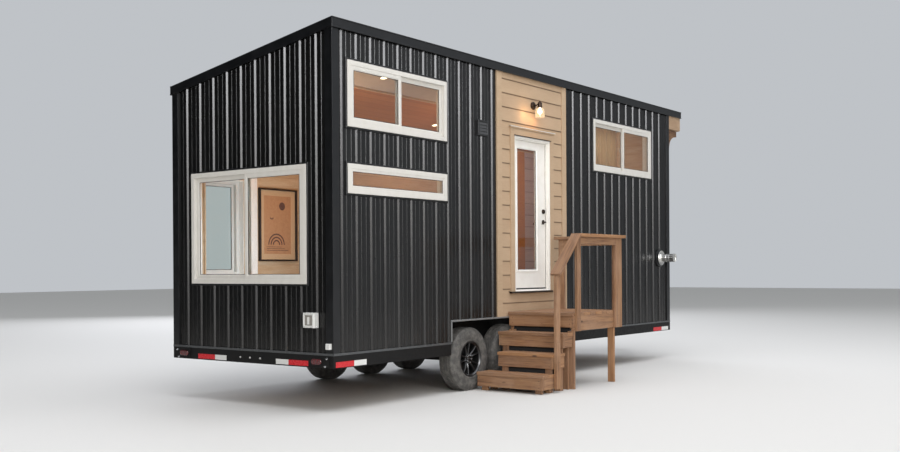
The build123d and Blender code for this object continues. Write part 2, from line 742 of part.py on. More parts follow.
def make_wheels():
    """Six wheels, each a tyre on a rim with paired spokes."""
    face, out = (0, tyre_face_y, 0), (0, 1, 0)
    tyre = turned(face, out, tyre_profile, wheel_flats) - turned(face, out, tyre_bore_profile, wheel_flats)
    rim = turned(face, out, barrel_profile, wheel_flats) - turned(face, out, barrel_hollow, wheel_flats)
    rim += turned(face, out, hub_profile, hub_flats)
    spoke = prism([(u, tyre_face_y + spoke_face, v) for u, v in spoke_outline], out, spoke_depth)
    for n in range(spoke_pairs):
        for lean in (-spoke_spread, spoke_spread):
            rim += Rot(0, 360 * n / spoke_pairs + lean, 0) * spoke
    start, end = hub_bore_span
    rim -= Pos(0, tyre_face_y + (start + end) / 2, 0) * Rot(90, 0, 0) * Cylinder(hub_bore, end - start)

    for n, x in enumerate(axle_x, 1):
        for kind, shape in (("tyre", tyre), ("rim", rim)):
            placed = Pos(x, 0, tyre_radius) * shape
            parts[f"{kind}_{n}_door_side"] = placed
            parts[f"{kind}_{n}_back_side"] = mirror(placed, Plane.XZ.offset(-body_width / 2))


def make_stair():
    """Three box steps, each boards on edge under an overhanging tread, on legs to the ground."""
    steps = []
    for n, top in enumerate(step_tops):
        x0 = stair_front + n * step_run
        x1 = x0 + step_run + step_overlap if n < 2 else landing_left
        y0, y1 = stair_side, middle_step_end if n == 1 else wall_clear
        z1 = top - tread
        z0 = z1 - step_board
        box_front, box_side = x0 + nosing, y0 + side_nosing
        step = block(x0, x1, y0, y1, z1, top)
        step += block(box_front, x1, box_side, y1, z0, z1)
        step -= block(box_front + stock, x1 - stock, box_side + stock, y1 - stock, z0 - 1, z1)
        leg_left = box_front + stock if n == 0 else x0 + step_overlap + joint_gap
        for leg_x in (leg_left, x1 - stock):
            for leg_y in (box_side + stock, y1 - stock - stud):
                step += block(leg_x, leg_x + stock, leg_y, leg_y + stud, 0, z1)
        steps.append(step)
    parts["steps"] = Compound(steps)


def make_landing():
    """Deck on rim boards and joists, with four legs."""
    z1 = landing_top - tread
    z0 = z1 - landing_board
    front = landing_left + nosing
    landing = block(landing_left, landing_right, stair_side, wall_clear, z1, landing_top)
    landing += block(front, landing_right, stair_side, wall_clear, z0, z1)
    bays = joist_count + 1
    pitch = (landing_right - front - stock) / bays
    for n in range(bays):
        x = front + n * pitch + stock
        landing -= block(x, x + pitch - stock, stair_side + stock, wall_clear - stock, z0 - 1, z1)
    for x in (front, landing_right - stud - stock):
        for y in (stair_side, wall_clear - stud):
            landing += block(x, x + stock, y, y + stud, 0, z0)
    parts["landing"] = landing


def make_railing():
    """Posts of two-by-four stock, level and sloping rails with flat caps."""
    outer = stair_side - stock
    cap_bottom = rail_cap_top - tread
    frame_bottom = landing_top - tread - landing_board
    newel_top = cap_bottom - (upper_post_x - newel_x) * step_slope
    newel = block(newel_x, newel_x + stud, outer, stair_side, newel_foot, newel_top)
    upper = block(upper_post_x, upper_post_x + stud, outer, stair_side, frame_bottom, cap_bottom)
    corner_x = landing_right - stock
    corner = block(corner_x - stud, corner_x, outer, stair_side, frame_bottom, cap_bottom)
    side_end = landing_right + stock
    corner += block(corner_x, side_end, outer, stair_side, frame_bottom, cap_bottom)
    corner += block(landing_right, side_end, stair_side, stair_side + stud, frame_bottom, cap_bottom)
    wall_post = block(corner_x, landing_right, wall_post_y, wall_post_y + stud, landing_top, cap_bottom)
    parts["railing_posts"] = Compound([newel, upper, corner, wall_post])

    rails = block(upper_post_x + stud, corner_x - stud, outer, stair_side, cap_bottom - stud, cap_bottom)
    rails += block(corner_x, landing_right, stair_side, wall_post_y, cap_bottom - stud, cap_bottom)
    cap_inner = rail_cap_side + rail_cap_width
    cap_end = landing_right + rail_cap_overhang
    rails += block(upper_post_x, cap_end, rail_cap_side, cap_inner, cap_bottom, rail_cap_top)
    rails += block(cap_end - rail_cap_width, cap_end, cap_inner, rail_cap_end, cap_bottom, rail_cap_top)
    low_x = newel_x - newel_lead
    drop = (upper_post_x - low_x) * step_slope
    slope_line = [(upper_post_x, rail_cap_side, cap_bottom), (upper_post_x, rail_cap_side, rail_cap_top),
                  (low_x, rail_cap_side, rail_cap_top - drop), (low_x, rail_cap_side, cap_bottom - drop)]
    rails += prism(slope_line, (0, 1, 0), rail_cap_width)
    parts["hand_rails"] = rails


make_walls()
make_cladding()
make_roof()
make_entry()
make_windows()
make_door()
make_porch_lamp()
make_vents()
make_electrics()
make_trailer()
make_axles()
make_wheels()
make_stair()
make_landing()
make_railing()

os.makedirs("parts", exist_ok=True)
for name, shape in parts.items():
    export_step(Pos(-origin.X, -origin.Y, 0) * shape, f"parts/{name}.step")
    print(name, len(shape.solids()), "solids")
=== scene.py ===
import bpy
import bmesh
import math
import random
from mathutils import Matrix, Vector


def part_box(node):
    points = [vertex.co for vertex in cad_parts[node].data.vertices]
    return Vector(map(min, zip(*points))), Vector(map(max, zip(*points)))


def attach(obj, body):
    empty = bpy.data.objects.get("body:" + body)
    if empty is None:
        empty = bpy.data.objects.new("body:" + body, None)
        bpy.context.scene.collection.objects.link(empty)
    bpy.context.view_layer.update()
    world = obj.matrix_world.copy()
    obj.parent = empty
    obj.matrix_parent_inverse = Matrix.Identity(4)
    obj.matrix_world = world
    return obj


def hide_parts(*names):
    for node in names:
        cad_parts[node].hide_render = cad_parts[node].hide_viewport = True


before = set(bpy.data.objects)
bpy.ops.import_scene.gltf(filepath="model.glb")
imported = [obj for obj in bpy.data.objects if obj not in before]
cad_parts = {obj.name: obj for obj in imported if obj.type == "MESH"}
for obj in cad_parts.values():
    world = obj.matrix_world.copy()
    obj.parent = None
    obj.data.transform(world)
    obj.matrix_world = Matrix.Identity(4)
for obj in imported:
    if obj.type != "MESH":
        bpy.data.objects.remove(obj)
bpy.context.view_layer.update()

# the house's own corner: X from the end with the large window, Y from the door side, metres
corner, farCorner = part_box("corner_trims")
corner = corner.copy()
shift = Vector((corner.x, corner.y, 0))
houseLength, houseWidth = farCorner.x - corner.x, farCorner.y - corner.y
sidingBottom = corner.z
sheetDepth = 0.022
wallDepth = 0.142
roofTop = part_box("roof_sheet")[1].z
roofSlope = (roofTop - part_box("roof_sheet")[0].z - sheetDepth) / houseWidth
boardRandom = random.Random(7)


def houseBox(node):
    low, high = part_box(node)
    return low - shift, high - shift


def roofAt(y):
    return roofTop - roofSlope * y


# colours and nodes
def toLinear(hexColour):
    channels = [int(hexColour[i:i + 2], 16) / 255 for i in (1, 3, 5)]
    return [c / 12.92 if c <= 0.04045 else ((c + 0.055) / 1.055) ** 2.4 for c in channels] + [1.0]


def addNode(tree, kind, settings=None, sockets=None):
    node = tree.nodes.new(kind)
    for name, value in (settings or {}).items():
        setattr(node, name, value)
    for name, value in (sockets or {}).items():
        if isinstance(value, bpy.types.NodeSocket):
            tree.links.new(value, node.inputs[name])
        else:
            node.inputs[name].default_value = value
    return node


def addRelief(material, height, distance):   # one more relief over those that the finish has
    tree = material.node_tree
    normal = tree.nodes["Principled BSDF"].inputs["Normal"]
    bump = addNode(tree, "ShaderNodeBump", {}, {"Height": height, "Distance": distance, "Strength": 1.0})
    if normal.is_linked:
        tree.links.new(normal.links[0].from_socket, bump.inputs["Normal"])
    tree.links.new(bump.outputs[0], normal)


def layer(sizeMm, hexColour=None, amount=0.0, gloss=None, reliefMm=0.0, stretch=(1, 1, 1), detail=3.0,
          between=(0.4, 0.7)):
    return sizeMm, hexColour, amount, gloss, reliefMm, stretch, detail, between


def newFinish(name, hexColour, roughness, layers=(), metallic=0.0, attribute=None, foldRadius=0.0, sockets=None):
    material = bpy.data.materials.new(name)
    material.use_nodes = True
    tree = material.node_tree
    shader = tree.nodes["Principled BSDF"]
    colour = toLinear(hexColour)
    values = {"Base Color": colour, "Roughness": roughness, "Metallic": metallic, **(sockets or {})}
    for socket, value in values.items():
        shader.inputs[socket].default_value = value
    if attribute:
        source = addNode(tree, "ShaderNodeAttribute", {"attribute_name": attribute}).outputs["Vector"]
    else:
        source = addNode(tree, "ShaderNodeTexCoord").outputs["Object"]
    if foldRadius:   # folded sheet: its creases are rounded, and catch the light
        crease = addNode(tree, "ShaderNodeBevel", {"samples": 6}, {"Radius": foldRadius})
        tree.links.new(crease.outputs[0], shader.inputs["Normal"])
    for sizeMm, tone, amount, gloss, reliefMm, stretch, detail, between in layers:   # noise of a real size
        placed = addNode(tree, "ShaderNodeMapping", {}, {"Vector": source, "Scale": stretch})
        noise = addNode(tree, "ShaderNodeTexNoise", {}, {
            "Vector": placed.outputs[0], "Scale": 1000 / sizeMm, "Detail": detail, "Roughness": 0.6})
        if tone:
            share = addNode(tree, "ShaderNodeMapRange", {}, {
                0: noise.outputs[0], 1: between[0], 2: between[1], 3: 0.0, 4: amount})
            mixed = addNode(tree, "ShaderNodeMix", {"data_type": "RGBA"}, {
                0: share.outputs[0], 6: colour, 7: toLinear(tone)})
            colour = mixed.outputs[2]
            tree.links.new(colour, shader.inputs["Base Color"])
        if gloss:
            rough = addNode(tree, "ShaderNodeMapRange", {}, {
                0: noise.outputs[0], 1: 0.3, 2: 0.7, 3: gloss[0], 4: gloss[1]})
            tree.links.new(rough.outputs[0], shader.inputs["Roughness"])
        if reliefMm:
            addRelief(material, noise.outputs[0], reliefMm / 1000)
    return material


def layOver(material, share, hexColour):   # mixes one more colour over what the finish has, where share is 1
    tree = material.node_tree
    under = tree.nodes["Principled BSDF"].inputs["Base Color"]
    first = under.links[0].from_socket if under.is_linked else list(under.default_value)
    mixed = addNode(tree, "ShaderNodeMix", {"data_type": "RGBA"}, {0: share, 6: first, 7: toLinear(hexColour)})
    tree.links.new(mixed.outputs[2], under)


# a dark line at each board's edge: the joint between boards, and, where relief is off, painted shade under a lap
def boardLines(material, axis, pitch, groove, grooveColour, tintColour, tintAmount, start=0.0, relief=True):
    tree = material.node_tree
    place = addNode(tree, "ShaderNodeSeparateXYZ", {}, {0: addNode(tree, "ShaderNodeTexCoord").outputs["Object"]})
    across = addNode(tree, "ShaderNodeMath", {"operation": "SUBTRACT"}, {0: place.outputs[axis], 1: start}).outputs[0]
    number = addNode(tree, "ShaderNodeMath", {"operation": "FLOOR"}, {
        0: addNode(tree, "ShaderNodeMath", {"operation": "DIVIDE"}, {0: across, 1: pitch}).outputs[0]})
    chance = addNode(tree, "ShaderNodeTexWhiteNoise", {"noise_dimensions": "1D"}, {"W": number.outputs[0]})
    tint = addNode(tree, "ShaderNodeMapRange", {}, {0: chance.outputs["Value"], 1: 0.0, 2: 1.0, 3: 0.0, 4: tintAmount})
    layOver(material, tint.outputs[0], tintColour)
    near = addNode(tree, "ShaderNodeMath", {"operation": "PINGPONG"}, {0: across, 1: pitch / 2})
    line = addNode(tree, "ShaderNodeMapRange", {}, {0: near.outputs[0], 1: 0.0, 2: groove, 3: 0.8, 4: 0.0})
    layOver(material, line.outputs[0], grooveColour)
    if relief:
        addRelief(material, line.outputs[0], -groove)


def addDustAndReflection(material, low, high, hexColour, amount):   # thins out between two heights, in patches
    tree = material.node_tree
    source = addNode(tree, "ShaderNodeTexCoord").outputs["Object"]
    height = addNode(tree, "ShaderNodeSeparateXYZ", {}, {0: source}).outputs[2]
    fade = addNode(tree, "ShaderNodeMapRange", {}, {0: height, 1: low, 2: high, 3: 1.0, 4: 0.0})
    patches = addNode(tree, "ShaderNodeTexNoise", {}, {"Vector": source, "Scale": 9.0, "Detail": 4.0})
    share = addNode(tree, "ShaderNodeMath", {"operation": "MULTIPLY"}, {0: fade.outputs[0], 1: patches.outputs[0]})
    some = addNode(tree, "ShaderNodeMath", {"operation": "MULTIPLY"}, {0: share.outputs[0], 1: amount})
    layOver(material, some.outputs[0], hexColour)


def addBoardTint(material):   # each board has a shade of its own, from the boardTint attribute, and a few knots
    tree = material.node_tree
    shade = addNode(tree, "ShaderNodeAttribute", {"attribute_name": "boardTint"}).outputs["Fac"]
    dark = addNode(tree, "ShaderNodeMapRange", {}, {0: shade, 1: 0.0, 2: 0.6, 3: 0.35, 4: 0.0})
    layOver(material, dark.outputs[0], "#5a3d2a")
    warm = addNode(tree, "ShaderNodeMapRange", {}, {0: shade, 1: 0.6, 2: 1.0, 3: 0.0, 4: 0.4})
    layOver(material, warm.outputs[0], "#a8743f")
    knots = addNode(tree, "ShaderNodeTexVoronoi", {"feature": "F1"}, {
        "Vector": addNode(tree, "ShaderNodeMapping", {}, {
            "Vector": addNode(tree, "ShaderNodeAttribute", {"attribute_name": "grainPoint"}).outputs["Vector"],
            "Scale": (0.35, 1, 1)}).outputs[0], "Scale": 4.5, "Randomness": 1.0})
    spot = addNode(tree, "ShaderNodeMapRange", {}, {0: knots.outputs["Distance"], 1: 0.03, 2: 0.075, 3: 0.85, 4: 0.0})
    layOver(material, spot.outputs[0], "#3a2417")


# coil-coated ribbed steel, satin black: soft upright streaks, and lighter near its foot, as painted reflection of the
# ground with some road dust
steelCladding = newFinish("coil_coated_steel", "#101010", 0.26, (
    layer(160, "#1a1a1a", 0.5, gloss=(0.22, 0.30), stretch=(1, 1, 0.12)),
    layer(14, "#0b0b0b", 0.3, stretch=(1, 1, 0.3))), foldRadius=0.006, sockets={"IOR": 1.45})
addDustAndReflection(steelCladding, sidingBottom, sidingBottom + 0.5, "#5a544c", 0.10)

# folded steel trim, the same coat, with a bluish cast painted in as reflection of the sky
steelTrim = newFinish("folded_steel_trim", "#0c0d0f", 0.33, (
    layer(90, "#141517", 0.6, gloss=(0.3, 0.42)), layer(6, reliefMm=0.05)), foldRadius=0.003)

# glass-filled nylon of the vent: charcoal slats, and a darker copy on the surround and back as painted shade
ventNylon = newFinish("faded_vent_nylon", "#3a3b3c", 0.5, (layer(30, "#4c4d4e", 0.6, gloss=(0.42, 0.58)),))
ventSurroundShade = newFinish("unfaded_vent_nylon", "#17181a", 0.5, (layer(30, "#212223", 0.6, gloss=(0.42, 0.58)),))

# galvanised flashing, zinc spangle gone dull, and a lighter copy round the wheel wells as painted highlight
zincFlashing = newFinish("galvanised_flashing", "#5d5f60", 0.45, (
    layer(12, "#777979", 0.6, gloss=(0.35, 0.55)),), metallic=0.7)
litZincFlashing = newFinish("grit_polished_flashing", "#808282", 0.4, (
    layer(12, "#979998", 0.6, gloss=(0.3, 0.5)),), metallic=0.3)

# fibre-cement board, factory stained tan: flat, with a pressed cedar grain; a darker copy under the overhang as painted
# shade
boardLayers = (
    layer(9, "#a5886a", 0.4, reliefMm=0.4, stretch=(0.07, 1, 1)), layer(240, "#bfa588", 0.5, stretch=(0.5, 1, 1)))
fibreCement = newFinish("fibre_cement_board", "#b59b7d", 0.8, boardLayers)
shadedSoffitBoard = newFinish("unwashed_fibre_cement", "#9f8266", 0.8, boardLayers)

# the same board laid in laps: a dark line painted under each butt edge as shade, every seven inches
lappedBoard = newFinish("lapped_fibre_cement", "#b59b7d", 0.8, boardLayers)
boardLines(lappedBoard, 2, 0.178, 0.011, "#4a3826", "#a98c6e", 0.35, houseBox("entry_siding")[0].z - 0.004, False)

# PVC-U window section, extruded: even, slightly creamy, faint rain marks
vinylSection = newFinish("extruded_vinyl", "#d4d1ca", 0.45, (
    layer(70, "#cbc8bf", 0.5, gloss=(0.4, 0.55), stretch=(1, 1, 0.4)), layer(3, reliefMm=0.05)),
    sockets={"Specular IOR Level": 0.22})

# door enamel on pressed steel, warm white with a fine orange-peel
doorEnamel = newFinish("door_enamel", "#f0ede6", 0.32, (
    layer(110, "#e4e0d6", 0.45, gloss=(0.28, 0.4)), layer(2.5, reliefMm=0.06)),
    sockets={"Coat Weight": 0.15, "Coat Roughness": 0.25})

# float glass, double glazed, very slightly green
floatGlass = newFinish("float_glass", "#f4faf7", 0.0, sockets={"IOR": 1.45, "Transmission Weight": 1.0})

# stained pressure-treated pine: brown semi-transparent stain, grain showing, worn lighter in broad patches
timberLayers = (
    layer(7, "#b48a5e", 0.8, reliefMm=0.5, stretch=(0.035, 1, 1), detail=4.0),
    layer(22, "#5c3b26", 0.8, stretch=(0.05, 1, 1), between=(0.46, 0.7)),
    layer(190, "#a68468", 0.6, gloss=(0.6, 0.82), stretch=(0.6, 1, 1)))
stainedTimber = newFinish("stained_pine", "#906849", 0.7, timberLayers, attribute="grainPoint")
addBoardTint(stainedTimber)

# the same stain darker on the braces as painted shade of the overhang, and near-black boards inside the steps as
# painted shade
shadedBraceStain = newFinish("double_stained_pine", "#3f2518", 0.7, timberLayers[:2], attribute="grainPoint")
shadeBoardFinish = newFinish("damp_bare_pine", "#0d0a08", 0.9, (
    layer(9, "#17110d", 0.7, stretch=(0.04, 1, 1)),), attribute="grainPoint")

# clear-coated knotty pine lining, boards along the walls; warmer and darker on the ceiling, boards along the house
pineWall = newFinish("pine_wall_lining", "#c9ae8c", 0.45, (
    layer(8, "#bb9871", 0.6, reliefMm=0.2, stretch=(0.05, 0.05, 1)),
    layer(60, "#d8c3a6", 0.6, gloss=(0.4, 0.55), stretch=(0.2, 0.2, 1))))
boardLines(pineWall, 2, 0.14, 0.003, "#8f7350", "#b8946a", 0.35)
pineCeiling = newFinish("pine_ceiling_lining", "#c4874a", 0.45, (
    layer(8, "#b06f34", 0.7, reliefMm=0.2, stretch=(0.05, 1, 1)),))
boardLines(pineCeiling, 1, 0.14, 0.004, "#5e3a1c", "#a9682f", 0.5)

# matt emulsion on the lower side of the ceiling, cream under warm lamps
ceilingPaint = newFinish("ceiling_emulsion", "#cfcac6", 0.8, (layer(180, "#c4bdb8", 0.5, reliefMm=0.1),))

# wide white boards, painted mauve-grey as shade of a dim wall
dimWhiteBoards = newFinish("lime_washed_boards", "#b9a8a8", 0.8, (layer(40, "#a08d8e", 0.6, stretch=(0.1, 1, 1)),))
boardLines(dimWhiteBoards, 2, 0.20, 0.006, "#5d4a46", "#c7b8b6", 0.5)

# oak plank floor, oiled
oakFloor = newFinish("oiled_oak_floor", "#8c6440", 0.5, (layer(6, "#6f4b2c", 0.6, reliefMm=0.2, stretch=(0.04, 1, 1)),))
boardLines(oakFloor, 1, 0.12, 0.002, "#3a2614", "#a07850", 0.5)

# chassis paint, brushed-on black over mill steel, dusty
chassisPaint = newFinish("chassis_paint", "#0c0c0c", 0.6, (
    layer(45, "#181614", 0.6, gloss=(0.5, 0.7)), layer(4, reliefMm=0.2)), sockets={"Specular IOR Level": 0.25})

# cast alloy, gloss black lacquer with brake dust in patches
lacqueredAlloy = newFinish("lacquered_alloy", "#0e0e0f", 0.34, (
    layer(30, "#1c1a18", 0.5, gloss=(0.28, 0.45)),), sockets={"Coat Weight": 0.3, "Coat Roughness": 0.2})

# tyre rubber, matt, grey with road dust
tyreRubber = newFinish("tyre_rubber", "#494744", 0.85, (
    layer(60, "#7a7771", 0.75, gloss=(0.75, 0.92)), layer(5, "#363533", 0.4, reliefMm=0.3)))

# oil-rubbed bronze, brown-black, worn lighter in patches
oiledBronze = newFinish("oil_rubbed_bronze", "#2b221c", 0.36, (
    layer(18, "#4a382a", 0.6, gloss=(0.28, 0.48)),), metallic=0.85)

# stainless steel, turned and brushed; chromed nuts and lamp bits, smoother
brushedStainless = newFinish("brushed_stainless", "#d9d8d4", 0.34, (
    layer(2, "#bab8b3", 0.5, gloss=(0.26, 0.44), stretch=(1, 0.08, 1)),), metallic=1.0)
chromedSteel = newFinish("chromed_steel", "#c9cacb", 0.16, (
    layer(12, "#a5a5a4", 0.4, gloss=(0.12, 0.28)),), metallic=1.0)

# moulded ABS, pale grey, fine spark texture, and a darker copy on the flap as painted shade of its recess
mouldedGrey = newFinish("moulded_abs_grey", "#dadad6", 0.5, (
    layer(40, "#c4c4bf", 0.5, gloss=(0.42, 0.58)), layer(2, reliefMm=0.1)))
shadedGrey = newFinish("dusty_abs_grey", "#8f8b84", 0.6, (layer(25, "#736f68", 0.6, gloss=(0.5, 0.7)),))

# acrylic lenses: deep red, ribbed inside so that it glitters in rows, and clear, grey-white over a white housing
redLens = newFinish("red_acrylic_lens", "#3d080b", 0.22, (
    layer(8, "#7c1217", 0.7, reliefMm=0.6, stretch=(1, 1, 0.1)),), sockets={"Coat Weight": 0.8, "Coat Roughness": 0.05})
clearLens = newFinish("clear_acrylic_lens", "#a5a4a1", 0.2, (layer(6, "#7e7d7a", 0.6, gloss=(0.15, 0.3)),))

# prismatic tape: small cells under a clear film
redTape = newFinish("red_prismatic_tape", "#c0141f", 0.3, (
    layer(10, "#dd3a3f", 0.6, gloss=(0.22, 0.38), reliefMm=0.15),))
whiteTape = newFinish("white_prismatic_tape", "#dcdcd8", 0.3, (
    layer(10, "#c5c6c4", 0.6, gloss=(0.22, 0.38), reliefMm=0.15),))

# EPDM gasket, dull black; the same black is painted shade in the flue's slots
gasketRubberAndSlotShade = newFinish("gasket_rubber", "#191919", 0.75, (layer(20, "#262624", 0.5, gloss=(0.65, 0.85)),))

# screw heads: painted in the sheet's own black, a touch glossier, and ceramic-coated brown for the deck
paintedScrew = newFinish("painted_screw", "#2a2a2a", 0.35, (layer(8, "#3d3b38", 0.5, gloss=(0.3, 0.45)),))
deckScrew = newFinish("coated_deck_screw", "#43352a", 0.5, (layer(6, "#5a4939", 0.5, gloss=(0.4, 0.6)),), metallic=0.5)

# clear seeded glass, lit from inside
lampGlass = newFinish("clear_lamp_glass", "#fffaf0", 0.08, (layer(12, reliefMm=0.8),), sockets={
    "IOR": 1.45, "Transmission Weight": 1.0, "Emission Color": toLinear("#ffd9ae"), "Emission Strength": 0.16})

# glowing filament bulb and downlight lens
warmBulb = newFinish("warm_bulb", "#fff0d0", 0.4, (layer(30, "#ffe2b0", 0.3),), sockets={
    "Emission Color": toLinear("#ffe0b4"), "Emission Strength": 6.0})

# washed linen curtain, loose plain weave; its threads are drawn coarser than real so that they show
linenCloth = newFinish("washed_linen", "#f3bb88", 0.9, (
    layer(3, "#dda26c", 0.6, reliefMm=0.3, stretch=(1, 0.08, 1)),
    layer(3, "#f8cda0", 0.5, reliefMm=0.3, stretch=(0.08, 1, 1))),
    attribute="UVMap", sockets={"Sheen Weight": 0.3, "Sheen Roughness": 0.5})

# print: wood frame in black stain, mat board, paper and ink, all matt
blackFrame = newFinish("stained_frame_wood", "#241a14", 0.5, (
    layer(4, "#3a2b20", 0.6, reliefMm=0.2, stretch=(0.1, 1, 0.1)),))
matBoard = newFinish("mat_board", "#cdab84", 0.9, (layer(5, "#bf9a72", 0.5, reliefMm=0.1),))
printPaper = newFinish("print_paper", "#bb8d66", 0.9, (layer(40, "#a97b56", 0.5),))
printInk = newFinish("print_ink", "#5b4038", 0.85, (layer(9, "#7a5848", 0.6),))

# studio floor, and the card that only the gloss of the rear end sees
paleFloor = newFinish("studio_floor", "#d6d4cf", 0.8)
blackCard = newFinish("black_card", "#050505", 1.0)
print("finishes made")


# mesh helpers, all in the house's coordinates
def addBlock(bm, x0, x1, y0, y1, z0, z1):
    corners = [bm.verts.new((x, y, z)) for x in (x0, x1) for y in (y0, y1) for z in (z0, z1)]
    for face in ((0, 1, 3, 2), (4, 6, 7, 5), (0, 4, 5, 1), (2, 3, 7, 6), (0, 2, 6, 4), (1, 5, 7, 3)):
        bm.faces.new([corners[i] for i in face])
    return corners


wallFacing = {"door": (0, -1, 0), "back": (0, 1, 0), "rear": (-1, 0, 0), "front": (1, 0, 0)}


def wallPoint(wall, u, depth, z):   # u along the wall, depth inwards from its face
    return Vector({"door": (u, depth, z), "back": (u, houseWidth - depth, z),
                   "rear": (depth, u, z), "front": (houseLength - depth, u, z)}[wall])


def addWallBlock(bm, wall, u0, u1, d0, d1, z0, z1):
    a, b = wallPoint(wall, u0, d0, z0), wallPoint(wall, u1, d1, z1)
    addBlock(bm, *sorted((a.x, b.x)), *sorted((a.y, b.y)), z0, z1)


def inset(rectangle, amount):
    left, right, low, high = rectangle
    return left + amount, right - amount, low + amount, high - amount


def joinRings(bm, a, b):   # faces between two closed loops of the same length
    for n in range(len(a)):
        m = (n + 1) % len(a)
        bm.faces.new((a[n], a[m], b[m], b[n]))


def addRing(bm, wall, outline):   # outline: (rectangle, depth) pairs, joined all round with mitred corners
    loops = []
    for (left, right, low, high), depth in outline:
        corners = ((left, low), (right, low), (right, high), (left, high))
        loops.append([bm.verts.new(wallPoint(wall, u, depth, z)) for u, z in corners])
    for a, b in zip(loops, loops[1:] + loops[:1]):
        joinRings(bm, a, b)


def addProfile(bm, wall, rectangle, profile):   # profile: (inset, depth) pairs
    addRing(bm, wall, [(inset(rectangle, amount), depth) for amount, depth in profile])


def addTurned(bm, centre, axis, stations, segments=40, closed=False):   # stations: distance along the axis, radius
    axis = Vector(axis).normalized()
    side = axis.orthogonal().normalized()
    up = axis.cross(side)
    rings = []
    for distance, radius in stations:
        middle = Vector(centre) + axis * distance
        if radius < 1e-6:
            rings.append([bm.verts.new(middle)])
        else:
            angles = [2 * math.pi * n / segments for n in range(segments)]
            rings.append([bm.verts.new(middle + (side * math.cos(a) + up * math.sin(a)) * radius) for a in angles])
    for a, b in list(zip(rings, rings[1:])) + ([(rings[-1], rings[0])] if closed else []):
        if len(a) == len(b):
            joinRings(bm, a, b)
        else:   # a fan round the end's middle
            for n in range(segments):
                m = (n + 1) % segments
                bm.faces.new((a[0], b[m], b[n]) if len(a) == 1 else (a[n], a[m], b[0]))
    if not closed:
        for ring in (rings[0], rings[-1]):
            if len(ring) > 1:
                bm.faces.new(ring)


def addTube(bm, points, radii, segments=14):   # round bar along a few points, for arms and bows
    points = [Vector(p) for p in points]
    rings, side = [], None
    for n, (point, radius) in enumerate(zip(points, radii)):
        along = (points[min(n + 1, len(points) - 1)] - points[max(n - 1, 0)]).normalized()
        side = (side - along * side.dot(along)).normalized() if rings else along.orthogonal().normalized()
        up = along.cross(side)
        rings.append([bm.verts.new(point + (side * math.cos(a) + up * math.sin(a)) * radius)
                      for a in (2 * math.pi * k / segments for k in range(segments))])
    for a, b in zip(rings, rings[1:]):
        joinRings(bm, a, b)
    bm.faces.new(rings[0])
    bm.faces.new(rings[-1])


def addPrism(bm, points, push):   # flat outline pushed along a vector
    first = [bm.verts.new(p) for p in points]
    second = [bm.verts.new(Vector(p) + Vector(push)) for p in points]
    bm.faces.new(first)
    bm.faces.new(second[::-1])
    joinRings(bm, first, second)
    return first + second


def newTimber():
    bm = bmesh.new()
    bm.verts.layers.float_vector.new("grainPoint")
    bm.verts.layers.float.new("boardTint")
    return bm


def markGrain(bm, verts, along):   # the grain follows the board's length, each board cut from another place
    grain, tint = bm.verts.layers.float_vector["grainPoint"], bm.verts.layers.float["boardTint"]
    start = Vector([boardRandom.uniform(0, 30) for _ in range(3)])
    shade = boardRandom.random()
    for vert in verts:
        p = vert.co
        order = {"x": (p.x, p.y, p.z), "y": (p.y, p.x, p.z), "z": (p.z, p.x, p.y)}[along]
        vert[grain] = Vector(order) + start
        vert[tint] = shade
    return verts


def addBoard(bm, x0, x1, y0, y1, z0, z1, along):
    return markGrain(bm, addBlock(bm, x0, x1, y0, y1, z0, z1), along)


def toMesh(name, bm, moved=True, recalc=True):
    if recalc:
        bmesh.ops.recalc_face_normals(bm, faces=bm.faces)
    if moved:
        bmesh.ops.translate(bm, verts=bm.verts, vec=shift)
    mesh = bpy.data.meshes.new(name)
    bm.to_mesh(mesh)
    bm.free()
    return mesh


def newPiece(name, shape, finish, slot, body="root", replaces=(), bevel=0.0, smooth=False, segments=2):
    mesh = toMesh(name, shape) if isinstance(shape, bmesh.types.BMesh) else shape
    piece = bpy.data.objects.new(name, mesh)
    bpy.context.scene.collection.objects.link(piece)
    mesh.materials.clear()
    mesh.materials.append(finish)
    if smooth:
        mesh.shade_smooth()
        mesh.set_sharp_from_angle(angle=math.radians(32))
    if bevel:
        modifier = piece.modifiers.new("Edges", "BEVEL")
        modifier.width, modifier.segments = bevel, segments
        modifier.limit_method, modifier.angle_limit = "ANGLE", math.radians(40)
    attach(piece, body)
    if replaces:
        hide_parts(*replaces)
    return piece


def boxPiece(name, boxes, finish, slot, bevel=0.0):
    bm = bmesh.new()
    for box in boxes:
        addBlock(bm, *box)
    return newPiece(name, bm, finish, slot, bevel=bevel)


def profilePiece(name, wall, rectangle, profile, finish, slot, **rest):
    bm = bmesh.new()
    addProfile(bm, wall, rectangle, profile)
    return newPiece(name, bm, finish, slot, **rest)


# geometry node trees
def newTree(name, inputs):
    tree = bpy.data.node_groups.new(name, "GeometryNodeTree")
    tree.interface.new_socket("Geometry", in_out="INPUT", socket_type="NodeSocketGeometry")
    for label, kind in inputs.items():
        tree.interface.new_socket(label, in_out="INPUT", socket_type="NodeSocket" + kind)
    tree.interface.new_socket("Geometry", in_out="OUTPUT", socket_type="NodeSocketGeometry")
    return tree, tree.nodes.new("NodeGroupInput").outputs, tree.nodes.new("NodeGroupOutput")


def placeOnPoints(tree, finish, sink, points, instance, rotation):
    placed = addNode(tree, "GeometryNodeInstanceOnPoints", {}, {
        "Points": points, "Instance": instance, "Rotation": rotation})
    realized = addNode(tree, "GeometryNodeRealizeInstances", {}, {"Geometry": placed.outputs[0]})
    dressed = addNode(tree, "GeometryNodeSetMaterial", {}, {"Geometry": realized.outputs[0], "Material": finish})
    tree.links.new(dressed.outputs[0], sink.inputs["Geometry"])
    return tree


